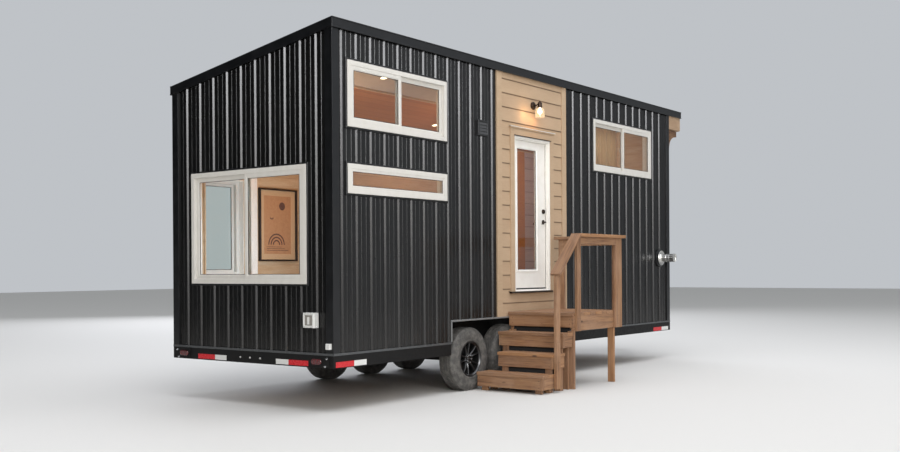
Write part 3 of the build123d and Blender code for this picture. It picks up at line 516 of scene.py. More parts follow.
def headsTree():   # a small domed head on each point, facing along the point's own direction
    tree, source, sink = newTree("heads_on_points", {
        "Radius": "Float", "Height": "Float", "Sides": "Int", "Finish": "Material"})
    crown = addNode(tree, "ShaderNodeMath", {"operation": "MULTIPLY"}, {0: source["Radius"], 1: 0.6})
    head = addNode(tree, "GeometryNodeMeshCone", {"fill_type": "NGON"}, {
        "Vertices": source["Sides"], "Radius Top": crown.outputs[0], "Radius Bottom": source["Radius"],
        "Depth": source["Height"]})
    facing = addNode(tree, "GeometryNodeInputNamedAttribute", {"data_type": "FLOAT_VECTOR"}, {"Name": "facing"})
    turn = addNode(tree, "FunctionNodeAlignRotationToVector", {"axis": "Z"}, {"Vector": facing.outputs["Attribute"]})
    return placeOnPoints(tree, source["Finish"], sink, source["Geometry"], head.outputs["Mesh"], turn.outputs[0])


def copiesTree():   # copies of the mesh in a straight row, each turned further round the Y axis
    tree, source, sink = newTree("copies_in_a_row", {
        "Count": "Int", "Step": "Vector", "Turn": "Float", "Phase": "Float", "Finish": "Material"})
    line = addNode(tree, "GeometryNodeMeshLine", {"mode": "OFFSET"}, {
        "Count": source["Count"], "Offset": source["Step"]})
    angle = addNode(tree, "ShaderNodeMath", {"operation": "MULTIPLY_ADD"}, {
        0: addNode(tree, "GeometryNodeInputIndex").outputs[0], 1: source["Turn"], 2: source["Phase"]})
    turn = addNode(tree, "ShaderNodeCombineXYZ", {}, {"Y": angle.outputs[0]})
    return placeOnPoints(tree, source["Finish"], sink, line.outputs["Mesh"], source["Geometry"], turn.outputs[0])


headsOnPoints, copiesInRow = headsTree(), copiesTree()


def grow(mesh, tree, values):   # runs a tree on a mesh and gives back the plain result
    holder = bpy.data.objects.new("holder", mesh)
    bpy.context.scene.collection.objects.link(holder)
    modifier = holder.modifiers.new("Grow", "NODES")
    modifier.node_group = tree
    for item in tree.interface.items_tree:
        if item.in_out == "INPUT" and item.name in values:
            modifier[item.identifier] = values[item.name]
    evaluated = holder.evaluated_get(bpy.context.evaluated_depsgraph_get())
    grown = bpy.data.meshes.new_from_object(evaluated)
    holder.modifiers.remove(modifier)
    bpy.data.objects.remove(holder)
    return grown


def copiesRound(name, bm, count, phase, finish):   # round the Y axis through the origin
    return grow(toMesh(name, bm, moved=False), copiesInRow, {
        "Count": count, "Step": (0, 0, 0), "Turn": 2 * math.pi / count, "Phase": phase, "Finish": finish})


def screwHeads(name, points, finish, slot, radius, height, sides=8):   # points: (place, direction) pairs
    mesh = bpy.data.meshes.new(name + "_points")
    mesh.from_pydata([tuple(Vector(p) + shift) for p, _ in points], [], [])
    facing = mesh.attributes.new("facing", "FLOAT_VECTOR", "POINT")
    for n, (_, direction) in enumerate(points):
        facing.data[n].vector = direction
    grown = grow(mesh, headsOnPoints, {"Radius": radius, "Height": height, "Sides": sides, "Finish": finish})
    return newPiece(name, grown, finish, slot)


print("helpers made")

# CAD nodes whose shape stays, with their finish
cadFinishes = {
    steelCladding: ("door_side_cladding", "back_cladding", "rear_cladding", "front_cladding", "roof_sheet"),
    steelTrim: ("corner_trims", "roof_fascia"),
    lappedBoard: ("entry_siding",),
    fibreCement: ("entry_trim",),
    shadedSoffitBoard: ("overhang_soffit",),
    pineWall: ("door_wall_left", "door_wall_right", "door_wall_head", "door_wall_foot", "back_wall", "rear_end_wall",
               "front_end_wall"),
    pineCeiling: ("roof_deck",),
    oakFloor: ("floor_deck",),
    chassisPaint: ("wheel_wells", "frame_side_rails", "frame_main_rails", "frame_crossmembers", "tongue", "axles"),
    floatGlass: ("window_glass", "door_glass"),
}
for finish, nodes in cadFinishes.items():
    for node in nodes:
        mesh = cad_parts[node].data
        mesh.materials.clear()
        mesh.materials.append(finish)

# windows: sizes in metres, depths inwards from the wall's face
windowSizes = {
    "face": 0.052, "proud": 0.012, "depth": 0.068, "sashFace": 0.050, "sashDepth": 0.029, "outerTrack": -0.008,
    "innerTrack": 0.024, "fixedBead": 0.030, "jTrim": 0.020, "liner": 0.008, "casing": 0.024, "casingDepth": 0.012,
    "latch": (0.022, 0.060), "weeps": (0.2, 0.8), "weepLength": 0.036,
}
windows = {   # node: wall, half whose sash is outermost
    "upper_left_window": ("door", "left"), "low_left_window": ("door", None), "right_window": ("door", "right"),
    "end_window": ("rear", "left"), "back_window": ("back", None),
}
w = windowSizes
face, proud, jTrim, liner, casing = w["face"], w["proud"], w["jTrim"], w["liner"], w["casing"]
frameProfile = [(0, -proud + 0.002), (0.002, -proud), (face - 0.0015, -proud), (face, -proud + 0.0015),
                (face, w["depth"]), (0, w["depth"])]
jProfile = [(-jTrim, 0.019), (-jTrim, -0.002), (-jTrim + 0.003, -0.005), (-0.004, -0.005), (-0.001, -0.002),
            (-0.001, 0.019)]
linerProfile = [(0.001, w["depth"] - 0.002), (liner, w["depth"] - 0.002), (liner, wallDepth + 0.003),
                (0.001, wallDepth + 0.003)]
casingFace = wallDepth + w["casingDepth"]
casingProfile = [(-casing, wallDepth), (0.0005, wallDepth), (0.0005, casingFace), (-casing, casingFace)]
trims, gaskets, liners, casings, weeps = bmesh.new(), bmesh.new(), bmesh.new(), newTimber(), bmesh.new()


def addGasket(wall, opening, depth):   # thin dark line between a sash and its pane
    addProfile(gaskets, wall, opening, [
        (0, depth + 0.0045), (0.005, depth + 0.0055), (0.005, depth + 0.0075), (0, depth + 0.0075)])


for node, (wall, outerHalf) in windows.items():
    low, high = houseBox(node)
    rectangle = (low.y, high.y, low.z, high.z) if wall == "rear" else (low.x, high.x, low.z, high.z)
    left, right, low, high = rectangle
    middle, t = (left + right) / 2, w["sashDepth"]
    inner = inset(rectangle, face)
    bm = bmesh.new()
    addProfile(bm, wall, rectangle, frameProfile)
    if outerHalf:
        addProfile(bm, wall, inner, [(-0.001, 0.0215), (0.007, 0.0215), (0.007, 0.0235), (-0.001, 0.0235)])
        f = w["sashFace"]
        for half, u0, u1 in (("left", inner[0], middle + f / 2), ("right", middle - f / 2, inner[1])):
            d = w["outerTrack"] if half == outerHalf else w["innerTrack"]
            sash = (u0, u1, inner[2], inner[3])
            addProfile(bm, wall, sash, [
                (0, d + 0.002), (0.002, d), (f - 0.012, d), (f - 0.009, d + 0.003), (f - 0.002, d + 0.005),
                (f, d + 0.007), (f, d + t - 0.007), (f - 0.010, d + t), (0.002, d + t), (0, d + t - 0.002)])
            addGasket(wall, inset(sash, f), d)
        latchWidth, latchHeight = w["latch"]
        latchZ = low + (high - low) * 0.5
        addWallBlock(bm, wall, middle - latchWidth / 2, middle + latchWidth / 2, 0.052, 0.066,
                     latchZ - latchHeight / 2, latchZ + latchHeight / 2)
    else:
        d, f = w["outerTrack"], w["fixedBead"]
        addProfile(bm, wall, inner, [
            (-0.001, d), (f - 0.006, d), (f, d + 0.005), (f, d + t - 0.005), (f - 0.006, d + t), (-0.001, d + t)])
        addGasket(wall, inset(inner, f), d)
    newPiece(node + "_dressed", bm, vinylSection, "white_vinyl", replaces=(node,), bevel=0.0015)
    addProfile(trims, wall, rectangle, jProfile)
    for share in w["weeps"]:
        u = left + (right - left) * share
        addWallBlock(weeps, wall, u - w["weepLength"] / 2, u + w["weepLength"] / 2, -proud - 0.003, -proud + 0.001,
                     low + 0.012, low + 0.020)
    addProfile(liners, wall, rectangle, linerProfile)
    before = len(casings.verts)
    addProfile(casings, wall, rectangle, casingProfile)
    casings.verts.ensure_lookup_table()
    markGrain(casings, casings.verts[before:], "x")
newPiece("window_j_trims", trims, steelTrim, "black_trim", bevel=0.001)
newPiece("window_gaskets", gaskets, gasketRubberAndSlotShade, "black_trim")
newPiece("window_jamb_liners", liners, doorEnamel, "white_vinyl")
newPiece("window_weep_covers", weeps, vinylSection, "white_vinyl", bevel=0.001)
newPiece("window_casings", casings, pineWall, "pine_lining", bevel=0.002)
print("windows made")

# door
door = {"jamb": 0.030, "stop": 0.014, "stopFront": 0.022, "stopBack": 0.049, "gap": 0.006, "leafFace": 0.055,
        "leafDepth": 0.045, "liteBorder": 0.030, "noseReach": 0.038, "noseHeight": 0.020, "noseLeft": 0.128,
        "noseRight": 0.012, "hingeHeight": 0.10, "hingeInset": 0.25, "knuckles": 5, "sweep": 0.030}
jamb, stop, stopFront, stopBack = door["jamb"], door["jamb"] + door["stop"], door["stopFront"], door["stopBack"]
frameLow, frameHigh = houseBox("door_frame")
paneLow, paneHigh = houseBox("door_glass")
frameHole = (frameLow.x, frameHigh.x, frameLow.z, frameHigh.z)
leafHole = inset(frameHole, jamb)
leafEdge = inset(leafHole, door["gap"])
lite = (paneLow.x, paneHigh.x, paneLow.z, paneHigh.z)
profilePiece("door_frame_dressed", "door", frameHole, [
    (0, 0.002), (0.002, 0), (0.026, 0), (jamb, 0.004), (jamb, stopFront), (stop, stopFront + 0.003), (stop, stopBack),
    (jamb, stopBack), (jamb, wallDepth), (0, wallDepth)],
    doorEnamel, "door_paint", replaces=("door_frame",), bevel=0.0015)

bm = bmesh.new()
hingeHeight = door["hingeHeight"]
hingeX, hingeY = leafHole[0] + door["gap"] / 2, door["leafFace"] + door["leafDepth"] + 0.008
for z in (frameHole[2] + door["hingeInset"], (frameHole[2] + frameHole[3]) / 2, frameHole[3] - door["hingeInset"]):
    for n in range(door["knuckles"]):   # knuckles with a hair's gap between
        z0 = z - hingeHeight / 2 + n * hingeHeight / door["knuckles"]
        addTurned(bm, (hingeX, hingeY, z0), (0, 0, 1), [
            (0, 0.0062), (0.001, 0.0072), (0.018, 0.0072), (0.019, 0.0062)], 16)
    addTurned(bm, (hingeX, hingeY, z + hingeHeight / 2), (0, 0, 1), [(0, 0.005), (0.004, 0.0065), (0.008, 0.003)], 16)
newPiece("door_hinge_knuckles", bm, oiledBronze, "black_hardware", smooth=True)

bm = bmesh.new()   # sill nose in dark bronze aluminium, with two drip grooves
z, noseFront, noseTop = frameHole[2], -door["noseReach"], frameHole[2] + door["noseHeight"]
nose = [(0, z), (noseFront + 0.006, z), (noseFront, z + 0.004), (noseFront, z + 0.014), (-0.030, noseTop),
        (-0.020, noseTop), (-0.018, z + 0.017), (-0.014, z + 0.017), (-0.012, noseTop + 0.001), (0.046, z + 0.032),
        (0.046, z + 0.030), (0, z + 0.012)]
noseLeft, noseRight = frameHole[0] - door["noseLeft"], frameHole[1] + door["noseRight"]
addPrism(bm, [(noseLeft, y, h) for y, h in nose], (noseRight - noseLeft, 0, 0))
newPiece("door_sill_nose", bm, oiledBronze, "black_hardware", bevel=0.0008)

bm = bmesh.new()
face, back = door["leafFace"], door["leafFace"] + door["leafDepth"]
bothSides = ((-1, face), (1, back))
b = door["liteBorder"]
addRing(bm, "door", [(leafEdge, face), (lite, face), (lite, back), (leafEdge, back)])
for out, start in bothSides:   # moulded border round the pane: inset, reach out of the leaf
    border = [(-b, -0.002), (-b, 0.003), (-b + 0.004, 0.007), (-b + 0.012, 0.008), (-0.010, 0.008), (-0.004, 0.005),
              (0.004, -0.004), (0.004, -0.012), (0, -0.014)]
    addProfile(bm, "door", lite, [(amount, start + out * reach) for amount, reach in border])
newPiece("door_leaf_dressed", bm, doorEnamel, "door_paint", "door", ("door_leaf",), bevel=0.0015)

bm = bmesh.new()
addProfile(bm, "door", lite, [
    (0.003, face + 0.0125), (0.008, face + 0.0125), (0.008, face + 0.0145), (0.003, face + 0.0145)])
sweepLow = leafEdge[2] - 0.004
addBlock(bm, leafEdge[0], leafEdge[1], face - 0.004, face + 0.004, sweepLow, sweepLow + door["sweep"])
newPiece("door_sweep_and_gasket", bm, gasketRubberAndSlotShade, "black_trim", "door", bevel=0.001)
profilePiece("door_weather_strip", "door", inset(frameHole, jamb + 0.002), [
    (0, stopBack - 0.001), (0.010, stopBack - 0.001), (0.011, stopBack + 0.003), (0, stopBack + 0.003)],
    gasketRubberAndSlotShade, "black_trim")

lock = {"x": 4.162, "lever": 2.097, "bolt": 2.238, "thumbReach": 0.024, "thumbLength": 0.018}
bm = bmesh.new()
for out, start in bothSides:
    addTurned(bm, (lock["x"], start, lock["lever"]), (0, out, 0), [
        (0, 0.031), (0.003, 0.032), (0.007, 0.031), (0.010, 0.026), (0.012, 0.014), (0.012, 0)])
    addTurned(bm, (lock["x"], start, lock["bolt"]), (0, out, 0), [
        (0, 0.031), (0.004, 0.032), (0.010, 0.030), (0.016, 0.027), (0.022, 0.025), (0.025, 0.023), (0.026, 0.018),
        (0.0245, 0.017), (0.0245, 0)])
thumb, thumbY = ((-0.006, -0.012), (0.006, -0.012), (0.008, 0.012), (-0.008, 0.012)), back + lock["thumbReach"]
addPrism(bm, [(lock["x"] + u, thumbY, lock["bolt"] + v) for u, v in thumb], (0, lock["thumbLength"], 0))
newPiece("door_bolt_and_roses_dressed", bm, oiledBronze, "black_hardware", "door", ("door_bolt_and_roses",),
         smooth=True)

bm = bmesh.new()   # the lever: a neck that bends into a flat, slightly drooping arm; place, reach and half width
arm = [(0, 0.000, 0.0085), (0, 0.030, 0.0085), (-0.004, 0.044, 0.0095), (-0.016, 0.051, 0.0105),
       (-0.045, 0.053, 0.0100), (-0.080, 0.053, 0.0085), (-0.105, 0.051, 0.0070), (-0.114, 0.050, 0.0040)]
for out, start in bothSides:
    path = [(lock["x"] + u, start + out * reach, lock["lever"] - 0.25 * u * u * 10) for u, reach, _ in arm]
    addTube(bm, path, [width for _, _, width in arm])
newPiece("door_lever_dressed", bm, oiledBronze, "black_hardware", "lever", ("door_lever",), smooth=True)
print("door made")

# flashings and edge trims
flashing = {"proud": 0.005, "wellFace": 0.020, "capHeight": 0.023, "capProud": 0.016, "capOver": 0.100,
            "dripOver": 0.118, "dripProud": 0.022, "drip": 0.006, "headCasing": 0.090, "fasciaDepth": 0.100,
            "hemFaces": (0.013, 0.021), "hemEdges": ((-0.004, 0.010), (0.092, 0.103))}
wellLow, wellHigh = houseBox("wheel_wells")
entryLow, entryHigh = houseBox("entry_siding")
face, proud = flashing["wellFace"], flashing["proud"]
wellLeft, wellRight, wellTop = wellLow.x + face, wellHigh.x - face, wellHigh.z - face
bm = bmesh.new()
wallLengths = {"door": houseLength, "back": houseLength, "rear": houseWidth, "front": houseWidth}
for wall, length in wallLengths.items():
    for u0, u1 in [(0, wellLeft), (wellRight, length)] if wall in ("door", "back") else [(0, length)]:
        addWallBlock(bm, wall, u0, u1, -proud, 0.016, sidingBottom - 0.006, sidingBottom + 0.002)
        addWallBlock(bm, wall, u0, u1, -proud, -proud + 0.002, sidingBottom + 0.0022, sidingBottom + 0.018)
newPiece("siding_foot_flashing", bm, zincFlashing, "flue_steel", bevel=0.0008)
# flashing round the wheel wells, in the lighter copy that paints a highlight
bm = bmesh.new()
for wall in ("door", "back"):
    addWallBlock(bm, wall, wellLeft - face, wellRight + face, -proud, 0.020, wellTop, wellTop + face)
    for u in (wellLeft - face, wellRight):
        addWallBlock(bm, wall, u, u + face, -proud, 0.020, sidingBottom, wellTop - 0.0005)
newPiece("wheel_well_flashing", bm, litZincFlashing, "flue_steel", bevel=0.0008)

# cap strip over the door's head casing, the folded drip cap on it, and a dark strip under the casing as painted shadow
left, right, top = frameHole[0], frameHole[1], frameHole[3]
casingTop = top + flashing["headCasing"]
capTop = casingTop + flashing["capHeight"]
over, dripOver, dripFront = flashing["capOver"], flashing["dripOver"], -flashing["dripProud"]
boxPiece("door_head_cap", [(left - over, right + over, -flashing["capProud"], 0.016, casingTop + 0.0004, capTop)],
         fibreCement, "tan_board", 0.0015)
boxPiece("door_head_flashing", [
    (left - dripOver, right + dripOver, dripFront, 0.016, capTop + 0.0004, capTop + 0.003),
    (left - dripOver, right + dripOver, dripFront, dripFront + 0.002, capTop - flashing["drip"], capTop)],
    vinylSection, "white_vinyl", 0.0004)
boxPiece("door_head_gasket", [(left - 0.012, right + 0.012, -0.018, 0.004, top - 0.003, top + 0.006)],
         oiledBronze, "black_hardware", 0.0008)

fasciaLow, fasciaHigh = houseBox("roof_fascia")   # drip hems along the head and foot of the fascia
hems = []
for y, out in ((0, -1), (houseWidth, 1)):
    edge = roofAt(y) - flashing["fasciaDepth"]
    y0, y1 = sorted(y + out * reach for reach in flashing["hemFaces"])
    hems += [(fasciaLow.x, fasciaHigh.x, y0, y1, edge + low, edge + high) for low, high in flashing["hemEdges"]]
boxPiece("fascia_hems", hems, steelTrim, "black_trim", 0.0015)

# screws of the steel sheets, one beside each tall rib
ribs = {"pitch": 0.2286, "doorFirst": 0.163, "doorRight": 4.9095, "endFirst": 0.252, "pan": 0.019, "footUp": 0.035,
        "cornerGap": 0.1, "edgeGap": 0.02, "roofRows": 5, "roofEdge": 0.06, "overhang": 0.38}
points = []


def screwRow(wall, first, start, end, z):
    u = first + ribs["pitch"] * math.ceil((start - first) / ribs["pitch"])
    while u < end:
        spot = u + ribs["pitch"] / 6
        if start + ribs["edgeGap"] < spot < end - ribs["edgeGap"]:
            points.append((wallPoint(wall, spot, ribs["pan"], z), wallFacing[wall]))
        u += ribs["pitch"]


foot, overWell, gap = sidingBottom + ribs["footUp"], wellTop + ribs["footUp"], ribs["cornerGap"]
screwRow("door", ribs["doorFirst"], gap, wellLeft, foot)
screwRow("door", ribs["doorFirst"], wellLeft, entryLow.x, overWell)
screwRow("door", ribs["doorRight"], entryHigh.x, houseLength - gap, foot)
screwRow("back", ribs["doorFirst"], gap, wellLeft, foot)
screwRow("back", ribs["doorFirst"], wellLeft, wellRight, overWell)
screwRow("back", ribs["doorFirst"], wellRight, houseLength - gap, foot)
screwRow("rear", ribs["endFirst"], gap, houseWidth - gap, foot)
screwRow("front", ribs["endFirst"], gap, houseWidth - gap, foot)
screwHeads("siding_screws", points, paintedScrew, "black_trim", 0.0055, 0.004)

points = []
slant = Vector((0, roofSlope, 1)).normalized()
x = ribs["doorFirst"] + 0.035
while x < houseLength + ribs["overhang"]:
    for row in range(ribs["roofRows"]):
        y = ribs["roofEdge"] + row * (houseWidth - 2 * ribs["roofEdge"]) / (ribs["roofRows"] - 1)
        points.append(((x, y, roofAt(y) - ribs["pan"]), slant))
    x += ribs["pitch"]
screwHeads("roof_screws", points, paintedScrew, "black_trim", 0.007, 0.005, 6)
print("trims and screws made")

# stair: three box steps, boards on edge under two tread boards each, on legs
stair = {"tread": 0.038, "nosing": 0.020, "sideNosing": 0.012, "riser": 0.140, "stock": 0.038, "stud": 0.089,
         "gap": 0.005, "tops": (0.225, 0.458, 0.692), "overlap": 0.045, "middleEnd": -0.160, "landingFront": 0.140,
         "landingSide": 0.184, "deckBoards": 8, "joists": 3, "innerInset": 0.050, "innerDepth": (0.004, 0.020),
         "innerFoot": 0.020, "innerRise": 0.030, "screwEdge": 0.03, "treadScrews": (0.25, 0.75),
         "deckScrews": (0.22, 0.78), "rimScrewInset": 0.04, "middleScrew": (3.75, -0.5)}
stepsLow, stepsHigh = houseBox("steps")
landLow, landHigh = houseBox("landing")
run = (landLow.x - stepsLow.x) / 3
k, stud, tread, boardGap, edge = (stair[key] for key in ("stock", "stud", "tread", "gap", "screwEdge"))
hair = 0.001   # keeps neighbouring boards from sharing a face
wood = (stainedTimber, "stained_timber")
bm, innerBoards, screws = newTimber(), newTimber(), []


def addInnerBoard(front, y0, y1, z0, rim):   # near-black board behind a box's front rim, painted shade of the gap below the rim
    near, far = (front + k + depth for depth in stair["innerDepth"])
    y0, y1 = y0 + k + stair["innerInset"], y1 - stair["innerInset"]
    addBoard(innerBoards, near, far, y0, y1, z0, rim + stair["innerRise"], "y")


for n, top in enumerate(stair["tops"]):
    x0 = stepsLow.x + n * run
    x1 = x0 + run + stair["overlap"] if n < 2 else landLow.x
    y0, y1 = stepsLow.y, stair["middleEnd"] if n == 1 else stepsHigh.y
    z1 = top - tread
    z0 = z1 - stair["riser"]
    width = (x1 - x0 - boardGap) / 2
    for b in range(2):
        left = x0 + b * (width + boardGap)
        addBoard(bm, left, left + width, y0 + 0.002 * b, y1, z1, top, "y")
        for y in (y0 + edge, (y0 + y1) / 2, y1 - edge):
            screws += [((left + share * width, y, top), (0, 0, 1)) for share in stair["treadScrews"]]
    front, side = x0 + stair["nosing"], y0 + stair["sideNosing"]
    addBoard(bm, front, front + k, side + k + hair, y1, z0 + 0.003, z1, "y")
    addBoard(bm, front + 0.002, front + k - 0.002, side - 0.002, side + k, z0, z1, "z")
    addBoard(bm, front + k, x1, side, side + k, z0 + 0.004, z1, "x")
    addBoard(bm, x1 - k, x1, side + k, y1 - k, z0, z1, "y")
    addBoard(bm, front + k, x1, y1 - k, y1, z0, z1, "x")
    screws += [((front, y, z), (-1, 0, 0)) for y in (side + 0.055, y1 - edge) for z in (z0 + edge, z1 - edge)]
    if n > 0:
        addInnerBoard(front, side, y1, stair["innerFoot"], z0)
    legLeft = front + k if n == 0 else x0 + stair["overlap"] + 0.001
    for x in (legLeft, x1 - k):
        for y in (side + k, y1 - k - stud):
            addBoard(bm, x + hair, x + k - hair, y + hair, y + stud - hair, 0, z1, "z")
newPiece("steps_boards", bm, *wood, replaces=("steps",), bevel=0.003)

# landing: deck boards on a rim of boards on edge, joists between, on four legs
bm = newTimber()
deck = landHigh.z
z1 = deck - tread
z0, frontLow = z1 - stair["landingSide"], z1 - stair["landingFront"]
count = stair["deckBoards"]
width = (landHigh.x - landLow.x - (count - 1) * boardGap) / count
front = landLow.x + stair["nosing"]
for b in range(count):
    left = landLow.x + b * (width + boardGap)
    addBoard(bm, left, left + width, landLow.y + boardRandom.uniform(0, 0.004), landHigh.y, z1, deck, "y")
    for y in (landLow.y + 0.02, (landLow.y + landHigh.y) / 2, landHigh.y - edge):
        screws += [((left + share * width, y, deck), (0, 0, 1)) for share in stair["deckScrews"]]
addBoard(bm, front, front + k, landLow.y + k, landHigh.y, frontLow, z1 - hair, "y")
addInnerBoard(front, landLow.y, landHigh.y, stair["tops"][1], frontLow)
newPiece("steps_inner_boards", innerBoards, shadeBoardFinish, "stained_timber", bevel=0.002)
addBoard(bm, front, landHigh.x, landLow.y, landLow.y + k, z0, z1, "x")
addBoard(bm, landHigh.x - k, landHigh.x, landLow.y + k, landHigh.y, z0, z1 - hair, "y")
addBoard(bm, front + k, landHigh.x - k, landHigh.y - k, landHigh.y, z0, z1 - hair, "x")
for b in range(stair["joists"]):
    x = front + (b + 1) * (landHigh.x - front - k) / (stair["joists"] + 1)
    addBoard(bm, x, x + k, landLow.y + k, landHigh.y - k, z0, z1 - hair, "y")
for x in (front, landHigh.x - stud - k):
    for y in (landLow.y + hair, landHigh.y - stud):
        addBoard(bm, x + hair, x + k, y, y + stud - hair, 0, z0 + hair, "z")
newPiece("landing_boards", bm, *wood, replaces=("landing",), bevel=0.003)
(middleX, middleY), rim = stair["middleScrew"], stair["rimScrewInset"]
screws += [((front, y, z), (-1, 0, 0)) for y in (landLow.y + 0.06, middleY, landHigh.y - 0.05)
           for z in (frontLow + rim, z1 - rim)]
screws += [((x, landLow.y, z), (0, -1, 0)) for x in (front + 0.02, middleX, landHigh.x - 0.16)
           for z in (z0 + rim, z1 - rim)]

# railing: posts outside the landing's rim, a sloping cap down to the newel
rail = {"newelX": 2.757, "newelFoot": 0.047, "upperX": 3.250, "slope": 0.97, "lead": 0.012, "capWidth": 0.140,
        "wallPostY": -0.170, "postScrews": (0.3, 0.7), "newelScrews": (0.36, 0.60),
        "capScrews": (3.29, 3.62, 3.95, 4.28), "capRows": (0.05, 0.09)}
railsLow, railsHigh = houseBox("hand_rails")
capTop = railsHigh.z
capBottom = capTop - tread
inner, outer = landLow.y, landLow.y - k
newelX, upperX, wallPostY, cornerX = rail["newelX"], rail["upperX"], rail["wallPostY"], landHigh.x - k
bm = newTimber()
newelTop = capBottom - (upperX - newelX) * rail["slope"]
newel = ((newelX, rail["newelFoot"]), (newelX + stud, rail["newelFoot"]),
         (newelX + stud, newelTop + stud * rail["slope"]), (newelX, newelTop))
markGrain(bm, addPrism(bm, [(x, outer, z) for x, z in newel], (0, k, 0)), "z")
for x0, x1 in ((upperX, upperX + stud), (cornerX - stud, cornerX - 0.001), (cornerX, landHigh.x + k)):
    addBoard(bm, x0, x1, outer, inner - 0.0005, z0, capBottom, "z")
addBoard(bm, landHigh.x + 0.0005, landHigh.x + k, inner, inner + stud, z0, capBottom, "z")
addBoard(bm, cornerX, landHigh.x, wallPostY, wallPostY + stud, deck, capBottom, "z")
newPiece("railing_posts_dressed", bm, *wood, replaces=("railing_posts",), bevel=0.003)

bm = newTimber()
capInner = railsLow.y + rail["capWidth"]
railLow = capBottom - stud
addBoard(bm, upperX + stud + hair, cornerX - stud - hair, outer + hair, inner - hair, railLow, capBottom, "x")
addBoard(bm, cornerX + hair, landHigh.x - hair, inner, wallPostY - hair, railLow, capBottom, "y")
addBoard(bm, upperX + hair, railsHigh.x, railsLow.y, capInner, capBottom, capTop, "x")
addBoard(bm, railsHigh.x - rail["capWidth"], railsHigh.x, capInner + 0.002, railsHigh.y, capBottom, capTop, "y")
lowX, angle = newelX - rail["lead"], math.atan(rail["slope"])
length = (upperX - lowX) / math.cos(angle)
board = addBoard(bm, 0, length, railsLow.y + hair, capInner - hair, -(capTop - capBottom) * math.cos(angle), 0, "x")
lowEnd = (lowX, 0, capTop - (upperX - lowX) * rail["slope"])
bmesh.ops.transform(bm, matrix=Matrix.Translation(lowEnd) @ Matrix.Rotation(-angle, 4, "Y"), verts=board)
newPiece("hand_rails_dressed", bm, *wood, replaces=("hand_rails",), bevel=0.003)
screws += [((x + share * stud, outer, z), (0, -1, 0)) for x in (upperX, cornerX - stud) for share in rail["postScrews"]
           for z in (z0 + 0.05, z1 - edge)]
screws += [((newelX + share * stud, outer, z), (0, -1, 0)) for share in rail["postScrews"] for z in rail["newelScrews"]]
screws += [((x, railsLow.y + y, capTop), (0, 0, 1)) for x in rail["capScrews"] for y in rail["capRows"]]
screwHeads("deck_screws", screws, deckScrew, "stained_timber", 0.0045, 0.0012, 10)
print("stair and landing made")

# curved braces under the overhang
brace = {"width": 0.070, "reach": 0.350, "fall": 0.330, "tip": 0.090, "inset": 0.030, "soffitDrop": 0.310,
         "bowAt": 0.40, "bow": 0.055, "steps": 16}
thick, near, far = brace["width"], houseLength, houseLength + brace["reach"]
bm = newTimber()
for y in (brace["inset"], houseWidth - brace["inset"] - thick):
    top = roofAt(y + thick) - brace["soffitDrop"]
    low, tip = top - brace["fall"], top - brace["tip"]
    start, end = Vector((near + thick, low)), Vector((far, tip))
    middle = Vector((near + brace["bowAt"] * brace["reach"], (tip + low) / 2 + brace["bow"]))
    control = 2 * middle - (start + end) / 2   # quadratic bow through the three points
    shares = [n / brace["steps"] for n in range(brace["steps"] + 1)]
    curve = [start * (1 - s) ** 2 + control * 2 * s * (1 - s) + end * s ** 2 for s in shares]
    outline = [(near + 0.001, y, low)] + [(p.x, y, p.y) for p in curve] + [(far, y, top), (near + 0.001, y, top)]
    markGrain(bm, addPrism(bm, outline, (0, thick, 0)), "x")
newPiece("knee_braces_dressed", bm, shadedBraceStain, "stained_timber", replaces=("knee_braces",), bevel=0.004)

# porch lamp
lamp = {"x": 3.849, "z": 3.620, "out": 0.100, "bow": 0.0075, "capTop": 3.672, "thumbs": 3, "thumbAt": 0.029,
        "thumbZ": 3.601, "shadeTop": 3.592, "bulbTop": 3.590}
x, y, z = lamp["x"], -lamp["out"], lamp["z"]
down = (0, 0, -1)
bm = bmesh.new()
addTurned(bm, (x, 0.020, z), (0, -1, 0), [
    (0, 0.050), (0.020, 0.052), (0.026, 0.051), (0.032, 0.045), (0.040, 0.032), (0.046, 0.016), (0.048, 0)], 48)
bow = [(-0.010, 0), (-0.030, 0), (-0.050, 0.004), (-0.068, 0.014), (-0.082, 0.028), (-0.092, 0.040), (y, 0.046)]
addTube(bm, [(x, reach, z + rise) for reach, rise in bow], [lamp["bow"]] * len(bow))
addTurned(bm, (x, y, lamp["capTop"]), down, [
    (0, 0), (0.001, 0.009), (0.010, 0.012), (0.016, 0.022), (0.024, 0.027), (0.030, 0.028), (0.033, 0.031),
    (0.038, 0.031), (0.041, 0.028), (0.078, 0.029), (0.082, 0.034), (0.086, 0.034), (0.086, 0)])
for n in range(lamp["thumbs"]):   # thumb screws that hold the shade
    a = math.radians(30 + 360 * n / lamp["thumbs"])
    place = (x + lamp["thumbAt"] * math.cos(a), y + lamp["thumbAt"] * math.sin(a), lamp["thumbZ"])
    addTurned(bm, place, (math.cos(a), math.sin(a), 0), [
        (0, 0.002), (0.007, 0.002), (0.0075, 0.0045), (0.010, 0.0045), (0.0105, 0)], 12)
newPiece("porch_lamp_dressed", bm, oiledBronze, "black_hardware", replaces=("porch_lamp",), smooth=True)
bm = bmesh.new()
addTurned(bm, (x, y, lamp["shadeTop"]), down, [
    (0.000, 0.032), (0.006, 0.036), (0.016, 0.049), (0.034, 0.057), (0.060, 0.061), (0.095, 0.063), (0.124, 0.064),
    (0.132, 0.066), (0.134, 0.065), (0.134, 0.063), (0.130, 0.0615), (0.122, 0.061), (0.095, 0.060), (0.060, 0.058),
    (0.034, 0.054), (0.018, 0.046), (0.008, 0.033), (0.003, 0.029)], 48, closed=True)
newPiece("porch_lamp_shade_dressed", bm, lampGlass, "window_glass", replaces=("porch_lamp_shade",), smooth=True)
bm = bmesh.new()
